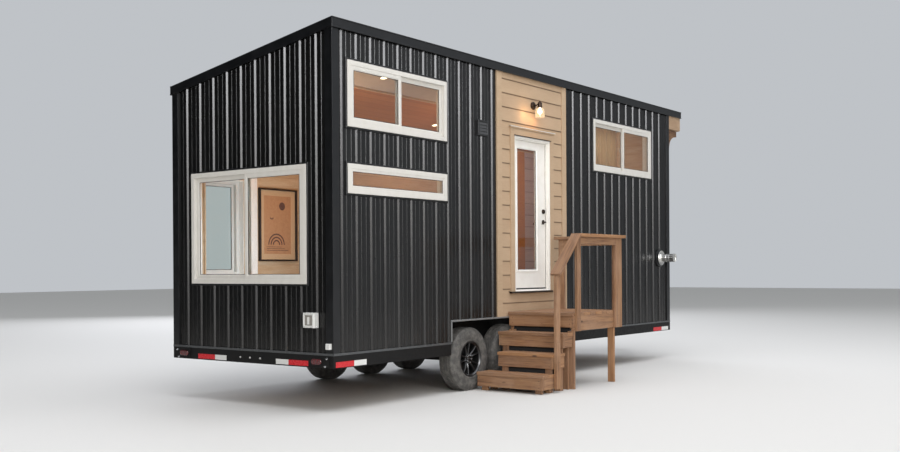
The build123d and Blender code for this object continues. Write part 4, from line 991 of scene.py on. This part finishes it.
addTurned(bm, (x, y, lamp["bulbTop"]), down, [
    (0, 0.013), (0.018, 0.014), (0.032, 0.022), (0.050, 0.030), (0.066, 0.030), (0.080, 0.022), (0.087, 0.010),
    (0.089, 0)], 32)
newPiece("porch_lamp_bulb", bm, warmBulb, "window_glass", smooth=True)

# louvre vent
vent = {"rectangle": (2.579, 2.790, 3.107, 3.300), "border": 0.020, "slats": 4, "gap": 0.010, "depth": 0.014,
        "lap": 0.002, "slab": 0.004}
d, border, slab = vent["depth"], vent["border"], vent["slab"]
bm = bmesh.new()
addProfile(bm, "door", vent["rectangle"], [
    (0, 0.018), (0, -d + 0.004), (0.003, -d), (border - 0.003, -d), (border, -d + 0.003), (border, -slab),
    (slab, -slab), (slab, 0.018)])
left, right, low, high = inset(vent["rectangle"], slab)
addBlock(bm, left, right, -0.006, 0.000, low, high)
newPiece("louvre_vent_body", bm, ventSurroundShade, "black_trim", replaces=("louvre_vent",), bevel=0.001)
left, right, low, high = inset(vent["rectangle"], border)
step = (high - low) / vent["slats"]
rise = step - vent["gap"]
slat = [(-d + 0.003, 0.005), (-d + 0.001, 0.001), (-d + 0.004, 0), (-d + 0.007, 0.002), (-0.0065, rise), (-0.008, rise)]
bm = bmesh.new()
addPrism(bm, [(left - vent["lap"], u, low + vent["lap"] + v) for u, v in slat], (right - left + 2 * vent["lap"], 0, 0))
slats = grow(toMesh("slat", bm), copiesInRow, {"Count": vent["slats"], "Step": (0, 0, step), "Finish": ventNylon})
newPiece("louvre_vent_slats", slats, ventNylon, "black_trim")

# flue terminal
flueLow, flueHigh = houseBox("flue_terminal")
flue = {"x": (flueLow.x + flueHigh.x) / 2, "z": (flueLow.z + flueHigh.z) / 2, "reach": -flueLow.y, "pipe": 0.061,
        "slots": 10, "slotPhase": 0.1}
centre, out = (flue["x"], 0, flue["z"]), (0, -1, 0)
reach, r = flue["reach"], flue["pipe"]
bm = bmesh.new()
addTurned(bm, centre, out, [(-0.015, 0.138), (0.002, 0.140), (0.006, 0.139), (0.009, 0.134), (0.009, 0)], 56)
newPiece("flue_wall_plate", bm, steelTrim, "black_trim", smooth=True)
bm = bmesh.new()
addTurned(bm, centre, out, [
    (0.008, 0.062), (0.016, 0.080), (0.026, 0.108), (0.030, 0.117), (0.032, 0.118), (0.034, 0.117), (0.033, 0.106),
    (0.028, 0.084), (0.030, 0.068), (0.040, 0.064), (0.042, 0.062)], 64, closed=True)
addTurned(bm, centre, out, [(0.008, r), (0.120, r), (0.123, r + 0.002), (0.127, r + 0.002), (0.130, r)] + [
    (reach - back, radius) for back, radius in (
        (0.090, r), (0.088, r + 0.004), (0.082, r + 0.004), (0.080, r + 0.002), (0.012, r + 0.003), (0.009, r + 0.006),
        (0.001, r + 0.006), (0, r + 0.004), (0, r - 0.004), (0.010, r - 0.006), (0.012, 0.030), (0.012, 0))], 64)
newPiece("flue_pipe", bm, brushedStainless, "flue_steel", replaces=("flue_terminal",), smooth=True)
# black strips on the pipe stand for its open slots, as painted shade
bm = bmesh.new()
addBlock(bm, -0.006, 0.006, -reach + 0.020, -reach + 0.070, r + 0.0005, r + 0.0035)
slots = copiesRound("slot", bm, flue["slots"], flue["slotPhase"], gasketRubberAndSlotShade)
slots.transform(Matrix.Translation((flue["x"] + corner.x, corner.y, flue["z"])))
newPiece("flue_slots", slots, gasketRubberAndSlotShade, "black_trim")

# power inlet and cable box on the rear end
inlet = {"rectangle": (0.218, 0.380, 0.873, 1.030), "depth": 0.055, "lid": 0.010, "flapInset": 0.026,
         "cableBox": (0.026, 0.078, 0.655, 0.715), "screwInset": 0.015}
d, lid = -inlet["depth"], -inlet["depth"] - inlet["lid"]
y0, y1, z0, z1 = inlet["rectangle"]
profilePiece("power_inlet_box", "rear", inlet["rectangle"], [
    (0, 0.010), (0, d + 0.004), (0.003, d), (0.006, d), (0.006, lid + 0.003), (0.010, lid), (0.020, lid),
    (0.024, d - 0.002), (0.030, d - 0.001), (0.060, d - 0.001), (0.060, 0.010)],
    mouldedGrey, "grey_plastic", replaces=("power_inlet",), bevel=0.0015)
bm = bmesh.new()
middle = (y0 + y1) / 2
addBlock(bm, d - 0.009, d + 0.002, middle - 0.014, middle + 0.014, z0 + 0.036, z1 - 0.044)
addTurned(bm, (d - 0.005, y0 + 0.030, z1 - 0.006), (0, 1, 0), [
    (0, 0.004), (0.001, 0.005), (0.101, 0.005), (0.102, 0.004)], 14)
addProfile(bm, "rear", inlet["cableBox"], [
    (0, 0.010), (0, -0.036), (0.003, -0.040), (0.008, -0.040), (0.010, -0.038), (0.026, -0.038), (0.026, 0.010)])
newPiece("power_inlet_latch_and_cable_box", bm, mouldedGrey, "grey_plastic", bevel=0.001)
left, right, low, high = inset(inlet["rectangle"], inlet["flapInset"])
boxPiece("power_inlet_flap", [(d - 0.0035, d, left, right, low, high)], shadedGrey, "grey_plastic", 0.001)
left, right, low, high = inset(inlet["rectangle"], inlet["screwInset"])
points = [((lid, y, z), (-1, 0, 0)) for y in (left, right) for z in (low, high)]
points += [((-0.020, y0, z), (0, -1, 0)) for z in (z0 + 0.02, z1 - 0.02)]
screwHeads("inlet_screws", points, chromedSteel, "flue_steel", 0.004, 0.002, 10)
print("fixtures made")

# tail lights, marker lamps and reflective tape
tail = {"plate": (0.060, 0.300), "plateZ": (0.464, 0.588), "lens": (0.150, 0.293), "lensZ": (0.496, 0.553),
        "proud": 0.034, "rim": 0.006, "steps": 12, "bolts": ((0.085, 0.560), (0.110, 0.480))}
brackets, lenses, chromes = bmesh.new(), bmesh.new(), bmesh.new()
z0, z1 = tail["lensZ"]
for mirrored in (False, True):
    def across(y):
        return houseWidth - y if mirrored else y
    addBlock(brackets, -0.012, 0, *sorted(map(across, tail["plate"])), *tail["plateZ"])
    y0, y1 = sorted(map(across, tail["lens"]))
    for bm, grown, near, far in ((brackets, tail["rim"], -0.016, -0.024), (lenses, 0.0, -0.020, -tail["proud"])):
        radius = (z1 - z0) / 2 + grown
        outline = []
        for middleY, start in ((y1 - radius + grown, -90), (y0 + radius - grown, 90)):
            angles = [math.radians(start + 180 * n / tail["steps"]) for n in range(tail["steps"] + 1)]
            outline += [(near, middleY + radius * math.cos(a), (z0 + z1) / 2 + radius * math.sin(a)) for a in angles]
        addPrism(bm, outline, (far - near, 0, 0))
    addBlock(brackets, -0.018, -0.010, y0, y1, z0 + 0.004, z1 - 0.004)
    for y, z in tail["bolts"]:
        addTurned(chromes, (-0.012, across(y), z), (-1, 0, 0), [
            (0, 0.013), (0.003, 0.014), (0.008, 0.012), (0.011, 0.006), (0.012, 0)], 20)
newPiece("tail_light_brackets", brackets, chassisPaint, "frame_steel", replaces=("tail_lights",), bevel=0.0015)
newPiece("tail_light_lenses", lenses, redLens, "red_lens", bevel=0.004, segments=3)
newPiece("tail_light_chrome", chromes, chromedSteel, "flue_steel", smooth=True)

markers = {"places": (1.087, 1.246, 1.401), "z": 0.517}
bm = bmesh.new()
for y in markers["places"]:
    addTurned(bm, (0, y, markers["z"]), (-1, 0, 0), [
        (0, 0.011), (0.004, 0.012), (0.010, 0.010), (0.014, 0.006), (0.015, 0)], 24)
newPiece("marker_lamps", bm, clearLens, "white_vinyl", smooth=True)

tapeThickness = 0.0012
tape = {   # walls: strips along them, and their height
    ("door", "back"): {
        "red": ((0.033, 0.311), (7.389, 7.681)), "white": ((0.311, 0.507), (7.681, 7.925)), "z": (0.466, 0.524)},
    ("rear",): {
        "red": ((0.362, 0.654), (1.826, 2.116)), "white": ((0.654, 0.844), (1.634, 1.826)), "z": (0.470, 0.525)},
}
for colour, finish, slot in (("red", redTape, "red_lens"), ("white", whiteTape, "white_vinyl")):
    bm = bmesh.new()
    for walls, strips in tape.items():
        for u0, u1 in strips[colour]:
            for wall in walls:
                addWallBlock(bm, wall, u0, u1, -tapeThickness, 0.0, *strips["z"])
    newPiece(colour + "_tape", bm, finish, slot)

# wheels, made once round the origin with the outer face towards -Y
wheel = {"radius": 0.383, "width": 0.235, "lugs": 60, "spokes": 5, "nuts": 5, "spokePhase": 0.3, "turn": 0.7,
         "grooves": (0.060, 0.096), "nutCircle": 0.044}
half, crown = wheel["width"] / 2, wheel["radius"]


def addRound(bm, stations, segments=96, closed=True):   # stations: distance from the wheel's outer face, radius
    addTurned(bm, (0, 0, 0), (0, 1, 0), [(distance - half, radius) for distance, radius in stations], segments, closed)


bm = bmesh.new()
outline = [(0.016, 0.213), (0.008, 0.219), (0.004, 0.230), (0.001, 0.236), (0.004, 0.243), (0.001, 0.262),
           (0.000, 0.290), (0.003, 0.318), (0.007, 0.334), (0.009, 0.337), (0.009, 0.342), (0.015, 0.356),
           (0.024, 0.369), (0.034, crown - 0.003)]
groove = ((-0.0045, 0.0005), (-0.0035, 0.008), (0.0035, 0.008), (0.0045, 0))
outline += [(middle + offset, crown - below) for middle in wheel["grooves"] for offset, below in groove]
addRound(bm, outline + [(wheel["width"] - distance, radius) for distance, radius in reversed(outline)])
tyreMesh = toMesh("tyre", bm, moved=False)
bm = bmesh.new()
lug = [(-0.009, 0.011, 0.0362), (0.006, 0.011, 0.0362), (0.009, 0.040, 0.0042), (-0.006, 0.040, 0.0042)]
addPrism(bm, [(x, distance - half, crown - below) for x, distance, below in lug], (0, 0, 0.004))
lugMesh = copiesRound("lug", bm, wheel["lugs"], 0.0, tyreRubber)

bm = bmesh.new()
addRound(bm, [
    (0.020, 0.2135), (0.014, 0.218), (0.008, 0.217), (0.006, 0.211), (0.009, 0.205), (0.018, 0.200), (0.026, 0.190),
    (0.150, 0.184), (0.205, 0.196), (0.226, 0.206), (0.229, 0.213), (0.226, 0.218), (0.220, 0.2135)])
addRound(bm, [
    (0.030, 0), (0.030, 0.020), (0.032, 0.026), (0.036, 0.029), (0.042, 0.030), (0.042, 0.056), (0.047, 0.062),
    (0.080, 0.066), (0.110, 0.070), (0.112, 0.140), (0.175, 0.146), (0.176, 0.060), (0.176, 0)], 64, False)
barrelMesh = toMesh("barrel", bm, moved=False)
bm = bmesh.new()
arm = [   # radius, offset, half width, face, depth
    (0.040, 0.012, 0.016, 0.046, 0.040), (0.075, 0.018, 0.013, 0.037, 0.040), (0.130, 0.032, 0.010, 0.029, 0.036),
    (0.175, 0.046, 0.010, 0.023, 0.034), (0.194, 0.054, 0.012, 0.022, 0.034)]
for lean in (-1, 1):   # a pair of slim arms that part towards the rim
    rings = []
    for r, offset, w, face, depth in arm:
        x, y = lean * offset, face - half
        ring = ((-w, depth), (-w, 0.008), (-w / 2, 0), (w / 2, 0), (w, 0.008), (w, depth))
        rings.append([bm.verts.new((x + u, y + v, r)) for u, v in ring])
    for a, b in zip(rings, rings[1:]):
        joinRings(bm, a, b)
    bm.faces.new(rings[0])
    bm.faces.new(rings[-1])
spokeMesh = copiesRound("spoke", bm, wheel["spokes"], wheel["spokePhase"], lacqueredAlloy)
bm = bmesh.new()
nut = [(0.045, 0.0105), (0.040, 0.0105), (0.024, 0.0095), (0.021, 0.005), (0.020, 0)]
addTurned(bm, (0, 0, wheel["nutCircle"]), (0, -1, 0), [(half - distance, radius) for distance, radius in nut], 6)
nutMesh = copiesRound("nut", bm, wheel["nuts"], wheel["spokePhase"] + math.pi / wheel["nuts"], chromedSteel)


def joined(parts, matrix):
    bm = bmesh.new()
    for part in parts:
        bm.from_mesh(part)
    bmesh.ops.transform(bm, matrix=matrix, verts=bm.verts)
    return toMesh("wheel_part", bm, moved=False, recalc=False)


for n in (1, 2, 3):
    for side in ("door_side", "back_side"):
        low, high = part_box(f"tyre_{n}_{side}")
        outwards = Matrix.Rotation(math.pi if side == "back_side" else 0.0, 4, "Z")
        matrix = Matrix.Translation((low + high) / 2) @ outwards @ Matrix.Rotation(wheel["turn"] * n, 4, "Y")
        body = f"wheel_{n}_{side}"
        tyre, rim, nuts = (joined(part, matrix) for part in ((tyreMesh, lugMesh), (barrelMesh, spokeMesh), (nutMesh,)))
        newPiece(f"tyre_{n}_{side}_dressed", tyre, tyreRubber, "tyre_rubber", body, (f"tyre_{n}_{side}",), smooth=True)
        newPiece(f"rim_{n}_{side}_dressed", rim, lacqueredAlloy, "black_alloy", body, (f"rim_{n}_{side}",), smooth=True)
        newPiece(f"nuts_{n}_{side}", nuts, chromedSteel, "flue_steel", body)
print("wheels made")

# inside: painted ceiling, downlights and the boards on the back wall
inside = {"drop": 0.151, "lining": 0.009, "paintTo": 1.15, "gap": 0.002, "batten": 0.045, "boardFoot": 0.722,
          "boardHead": 0.022, "downlights": [(x, y) for x in (1.72, 4.25, 6.5) for y in (0.77, 1.95)]}
drop, lining, innerEnd, innerBack = inside["drop"], inside["lining"], houseLength - wallDepth, houseWidth - wallDepth
x0, x1 = wallDepth + inside["gap"], innerEnd - inside["gap"]
y0, y1 = wallDepth + inside["gap"], inside["paintTo"]
near, far = roofAt(y0) - drop, roofAt(y1) - drop
bm = bmesh.new()
addPrism(bm, [(x0, y0, near - lining), (x0, y1, far - lining), (x0, y1, far), (x0, y0, near)], (x1 - x0, 0, 0))
newPiece("ceiling_painted_lining", bm, ceilingPaint, "pine_lining")
bm = newTimber()
addBoard(bm, x0, x1, y1 + 0.001, y1 + inside["batten"], far - 0.030, far - 0.002, "x")
newPiece("ceiling_batten", bm, pineWall, "pine_lining", bevel=0.002)
rims, lenses = bmesh.new(), bmesh.new()
for x, y in inside["downlights"]:
    place, down = (x, y, roofAt(y) - drop - (lining if y < y1 else 0.0)), (0, -roofSlope, -1)
    addTurned(rims, place, down, [
        (-0.002, 0.060), (0.004, 0.058), (0.006, 0.052), (0.004, 0.046), (-0.002, 0.044)], 36, closed=True)
    addTurned(lenses, place, down, [(-0.002, 0.043), (0.003, 0.043), (0.004, 0.040), (0.004, 0)], 32)
newPiece("downlight_rims", rims, vinylSection, "white_vinyl", smooth=True)
newPiece("downlight_lenses", lenses, warmBulb, "window_glass", smooth=True)

# a white board beside the back window, white boards across from the door painted mauve-grey as shade, and a
# honey-coloured one that ends them
boardHead = roofAt(innerBack) - drop - inside["boardHead"]
for name, x0, x1, thick, finish, slot in (
        ("back_window_side_board", 0.974, 1.182, 0.020, doorEnamel, "door_paint"),
        ("back_wall_washed_boards", 7.345, innerEnd - 0.001, 0.012, dimWhiteBoards, "pine_lining"),
        ("back_wall_honey_board", 7.08, 7.344, 0.016, pineCeiling, "pine_lining")):
    y0, y1 = innerBack - thick, innerBack - 0.0005
    boxPiece(name, [(x0, x1, y0, y1, inside["boardFoot"], boardHead)], finish, slot, 0.002)

# the framed print keeps its place and colours, with plain arches, a disc and ground lines of another design
art = {"rectangle": (1.21, 1.86, 1.59, 2.51), "deep": 0.042, "rebate": 0.018, "mat": 0.070, "ink": (0.0088, 0.0098),
       "arches": (0.045, 0.085, 0.125), "archWidth": 0.018, "lines": 3, "lineStep": 0.022, "lineWidth": 0.006}
flat, deep, matWidth = wallDepth + 0.001, wallDepth + art["deep"], art["mat"]
profilePiece("print_frame", "back", art["rectangle"], [
    (0, wallDepth), (0, deep - 0.003), (0.003, deep), (0.018, deep), (0.020, deep - 0.005), (0.020, wallDepth)],
    blackFrame, "black_hardware", bevel=0.001)
mat = inset(art["rectangle"], art["rebate"])
profilePiece("print_mat", "back", mat, [
    (0, flat), (0, wallDepth + 0.012), (matWidth, wallDepth + 0.012), (matWidth + 0.002, wallDepth + 0.010),
    (matWidth + 0.002, flat)], matBoard, "pine_lining")
bm = bmesh.new()
u0, u1, z0, z1 = inset(mat, matWidth)
addWallBlock(bm, "back", u0, u1, flat, wallDepth + 0.009, z0, z1)
newPiece("print_sheet", bm, printPaper, "pine_lining")
rear, front = (wallDepth + depth for depth in art["ink"])
bm = bmesh.new()


def addArc(u, z, radius, width, first, last, steps=24):
    section = ((radius, rear), (radius, front), (radius + width, front), (radius + width, rear))
    rings = []
    for n in range(steps + 1):
        a = math.radians(first + (last - first) * n / steps)
        rings.append([bm.verts.new(wallPoint("back", u + r * math.cos(a), depth, z + r * math.sin(a)))
                      for r, depth in section])
    for a, b in zip(rings, rings[1:]):
        joinRings(bm, b, a)
    bm.faces.new(rings[0])
    bm.faces.new(rings[-1][::-1])


middle = (u0 + u1) / 2
for radius in art["arches"]:
    addArc(middle - 0.02, z0 + 0.12, radius, art["archWidth"], 0, 180)
addArc(middle + 0.08, z1 - 0.13, 0.001, 0.050, 0, 359.5, 36)
addArc(middle - 0.10, z1 - 0.27, 0.020, 0.014, 200, 340)
for n in range(art["lines"]):
    low = z0 + 0.045 + art["lineStep"] * n
    addWallBlock(bm, "back", u0 + 0.05, u1 - 0.05 - 0.06 * n, rear, front, low, low + art["lineWidth"])
newPiece("print_motifs", bm, printInk, "black_hardware")

# the curtain, with its folds, gathered on a rod
curtain = {"x0": 5.70, "x1": 6.48, "top": 3.60, "bottom": 2.80, "depth": wallDepth + 0.045, "folds": 8, "swing": 0.020,
           "sway": 0.006, "columns": 160, "rows": 24, "rodStart": 0.06, "brackets": (-0.03, 1.80)}
x0, x1, top, columns, rows = (curtain[key] for key in ("x0", "x1", "top", "columns", "rows"))
bm, grid = bmesh.new(), []
for n in range(columns + 1):
    share = n / columns
    phase = 2 * math.pi * curtain["folds"] * share
    line = []
    for m in range(rows + 1):
        fall = m / rows
        swing = curtain["swing"] * (0.55 + 0.45 * fall)
        u = x0 + (x1 - x0) * share + curtain["sway"] * math.sin(phase * 0.37 + fall * 2.0) * fall
        depth = curtain["depth"] + swing * math.sin(phase + 0.5 * math.sin(phase * 0.31) + 0.3 * fall)
        line.append(bm.verts.new(wallPoint("door", u, depth, top + (curtain["bottom"] - top) * fall)))
    grid.append(line)
width = sum((a[rows // 2].co - b[rows // 2].co).length for a, b in zip(grid, grid[1:]))
uvLayer = bm.loops.layers.uv.new("UVMap")
for n in range(columns):
    for m in range(rows):
        spots = ((n, m), (n, m + 1), (n + 1, m + 1), (n + 1, m))
        quad = bm.faces.new([grid[a][b] for a, b in spots])
        for loop, (a, b) in zip(quad.loops, spots):
            loop[uvLayer].uv = (a / columns * width, b / rows * (top - curtain["bottom"]))
cloth = newPiece("window_curtain_cloth", toMesh("window_curtain", bm, recalc=False), linenCloth, "linen_cloth",
                 replaces=("window_curtain",), smooth=True)
bm = bmesh.new()
railY = curtain["depth"]
addTurned(bm, (x0 - curtain["rodStart"], railY, top + 0.006), (1, 0, 0), [
    (0, 0), (0.001, 0.009), (0.012, 0.011), (0.018, 0.006), (1.86, 0.006), (1.866, 0.011), (1.877, 0.009),
    (1.878, 0)], 16)
for x in (x0 + offset for offset in curtain["brackets"]):
    addBlock(bm, x, x + 0.012, wallDepth, railY + 0.004, top - 0.004, top + 0.002)
newPiece("curtain_rod", bm, oiledBronze, "black_hardware", smooth=True)
print("inside made, curtain cut", round(width, 3), "by", round(curtain["top"] - curtain["bottom"], 3))

# studio, lamps and camera; the world is dark behind the house and behind its long side, for the gloss alone
studio = {"bright": "#d3d7dc", "dim": "#17191c", "open": (0.80, -0.60, 0.0), "treeline": (0.95, -0.31, 0.0),
          "strength": 0.8, "reach": 60.0, "card": (-30, -4.5, -1, 25), "cardHeight": 0.01}


def newStage(name, x0, x1, y0, y1, z, finish):
    bm = bmesh.new()
    bm.faces.new([bm.verts.new((x, y, z)) for x, y in ((x0, y0), (x1, y0), (x1, y1), (x0, y1))])
    sheet = bpy.data.objects.new(name, toMesh(name, bm, moved=False, recalc=False))
    bpy.context.scene.collection.objects.link(sheet)
    sheet.data.materials.append(finish)
    return sheet


reach = studio["reach"]
newStage("studio_floor", -reach, reach, -reach, reach, 0, paleFloor)

# a black card low beside the camera, seen only in the gloss of the rear end's pans
cardEdges = [start + edge for start, edge in zip((corner.x, corner.x, corner.y, corner.y), studio["card"])]
card = newStage("black_card", *cardEdges, studio["cardHeight"], blackCard)
for kind in ("camera", "diffuse", "transmission", "shadow"):
    setattr(card, "visible_" + kind, False)

world = bpy.data.worlds.new("studio_world")
bpy.context.scene.world = world
world.use_nodes = True
skyTree = world.node_tree
toward, along = (addNode(skyTree, "ShaderNodeVectorMath", {"operation": "DOT_PRODUCT"}, {
    0: addNode(skyTree, "ShaderNodeTexCoord").outputs["Generated"], 1: studio[name]}).outputs["Value"]
    for name in ("open", "treeline"))
share = addNode(skyTree, "ShaderNodeMapRange", {"interpolation_type": "SMOOTHSTEP"}, {
    0: toward, 1: -0.85, 2: -0.20, 3: 0.0, 4: 1.0})
shaded = addNode(skyTree, "ShaderNodeMapRange", {}, {0: along, 1: 0.93, 2: 0.99, 3: 1.0, 4: 0.35})
lit = addNode(skyTree, "ShaderNodeMath", {"operation": "MULTIPLY"}, {0: share.outputs[0], 1: shaded.outputs[0]})
seen = addNode(skyTree, "ShaderNodeLightPath").outputs["Is Camera Ray"]   # the backdrop itself is pale all round
part = addNode(skyTree, "ShaderNodeMath", {"operation": "MAXIMUM"}, {0: lit.outputs[0], 1: seen})
sky = addNode(skyTree, "ShaderNodeMix", {"data_type": "RGBA"}, {
    0: part.outputs[0], 6: toLinear(studio["dim"]), 7: toLinear(studio["bright"])})
background = skyTree.nodes["Background"].inputs
skyTree.links.new(sky.outputs[2], background["Color"])
background["Strength"].default_value = studio["strength"]
bpy.context.scene.view_settings.view_transform = "Standard"


def addLight(name, place, power, size, hexColour, target=None):   # an area light where there is a target
    light = bpy.data.lights.new(name, "AREA" if target else "POINT")
    light.energy = power
    light.color = toLinear(hexColour)[:3]
    holder = bpy.data.objects.new(name, light)
    bpy.context.scene.collection.objects.link(holder)
    holder.location = place
    if target:
        light.shape = "RECTANGLE"
        light.size, light.size_y = size
        holder.rotation_euler = (Vector(target) - Vector(place)).to_track_quat("-Z", "Y").to_euler()
    else:
        light.shadow_soft_size = size
    holder.visible_camera = False
    holder.visible_transmission = False
    holder.visible_glossy = bool(target)   # a bare lamp isn't mirrored in the panes
    return holder


addLight("front_soft_box", (-16.5, -14.5, 6.0), 1900, (15, 8), "#fffaf5", (0, 0, 1.8))
ribLight = addLight("rib_light", (-15.0, -13.0, 8.6), 3700, (15, 6), "#f7f9ff", (0, 0, 2.5))
ribLight.visible_diffuse = False   # shows only as the gleam along the ribs
addLight("overhead_soft_box", (-2.0, -4.0, 15.0), 2300, (18, 14), "#f6f8ff", (0, 0, 0))
addLight("back_soft_box", (12.0, 15.0, 8.0), 1600, (15, 8), "#f2f5ff", (0, 0, 2.0))
roomLamps = [(1.2, 1.3, 3.1, 12), (1.5, 0.9, 2.6, 6), (3.9, 1.4, 2.6, 12), (6.4, 1.5, 3.2, 15), (3.7, 0.9, 3.4, 6)]
for n, (x, y, z, power) in enumerate(roomLamps):
    addLight(f"room_lamp_{n}", (corner.x + x, corner.y + y, z), power, 0.18, "#ffc796")
addLight("window_daylight", shift + Vector((0.55, 1.10, 1.75)), 22, (0.8, 0.9), "#e9f0ff",
         shift + Vector((1.6, 2.4, 1.5)))
addLight("loft_daylight", shift + Vector((6.3, 0.25, 3.2)), 10, (1.6, 0.6), "#e9f0ff", shift + Vector((6.3, 2.4, 3.0)))
addLight("porch_glow", shift + Vector((lamp["x"] - 0.02, -0.10, 3.43)), 0.9, 0.04, "#ffb97a")
addLight("porch_glow_left", shift + Vector((lamp["x"] - 0.22, -0.09, 3.49)), 1.0, 0.05, "#ffd8a4")

photoCamera = {"place": (-7.7745, -7.3225, 1.4765), "yaw": 36.856, "pitch": -0.196, "roll": -0.340, "lens": 41.50,
               "sensor": 36.0, "shiftY": 0.0516, "clip": 200.0}
yaw, pitch, roll = (math.radians(photoCamera[key]) for key in ("yaw", "pitch", "roll"))
ahead = Vector((math.cos(yaw) * math.cos(pitch), math.sin(yaw) * math.cos(pitch), math.sin(pitch)))
flatRight = Vector((math.sin(yaw), -math.cos(yaw), 0))
flatUp = flatRight.cross(ahead)
right = math.cos(roll) * flatRight + math.sin(roll) * flatUp
up = -math.sin(roll) * flatRight + math.cos(roll) * flatUp
cameraData = bpy.data.cameras.new("photo_camera")
cameraData.lens, cameraData.sensor_width = photoCamera["lens"], photoCamera["sensor"]
cameraData.sensor_fit = "HORIZONTAL"
cameraData.shift_y, cameraData.clip_end = photoCamera["shiftY"], photoCamera["clip"]
camera = bpy.data.objects.new("photo_camera", cameraData)
bpy.context.scene.collection.objects.link(camera)
place = shift + Vector(photoCamera["place"])
camera.matrix_world = Matrix.Translation(place) @ Matrix((right, up, -ahead)).transposed().to_4x4()
bpy.context.scene.camera = camera
print("studio made")
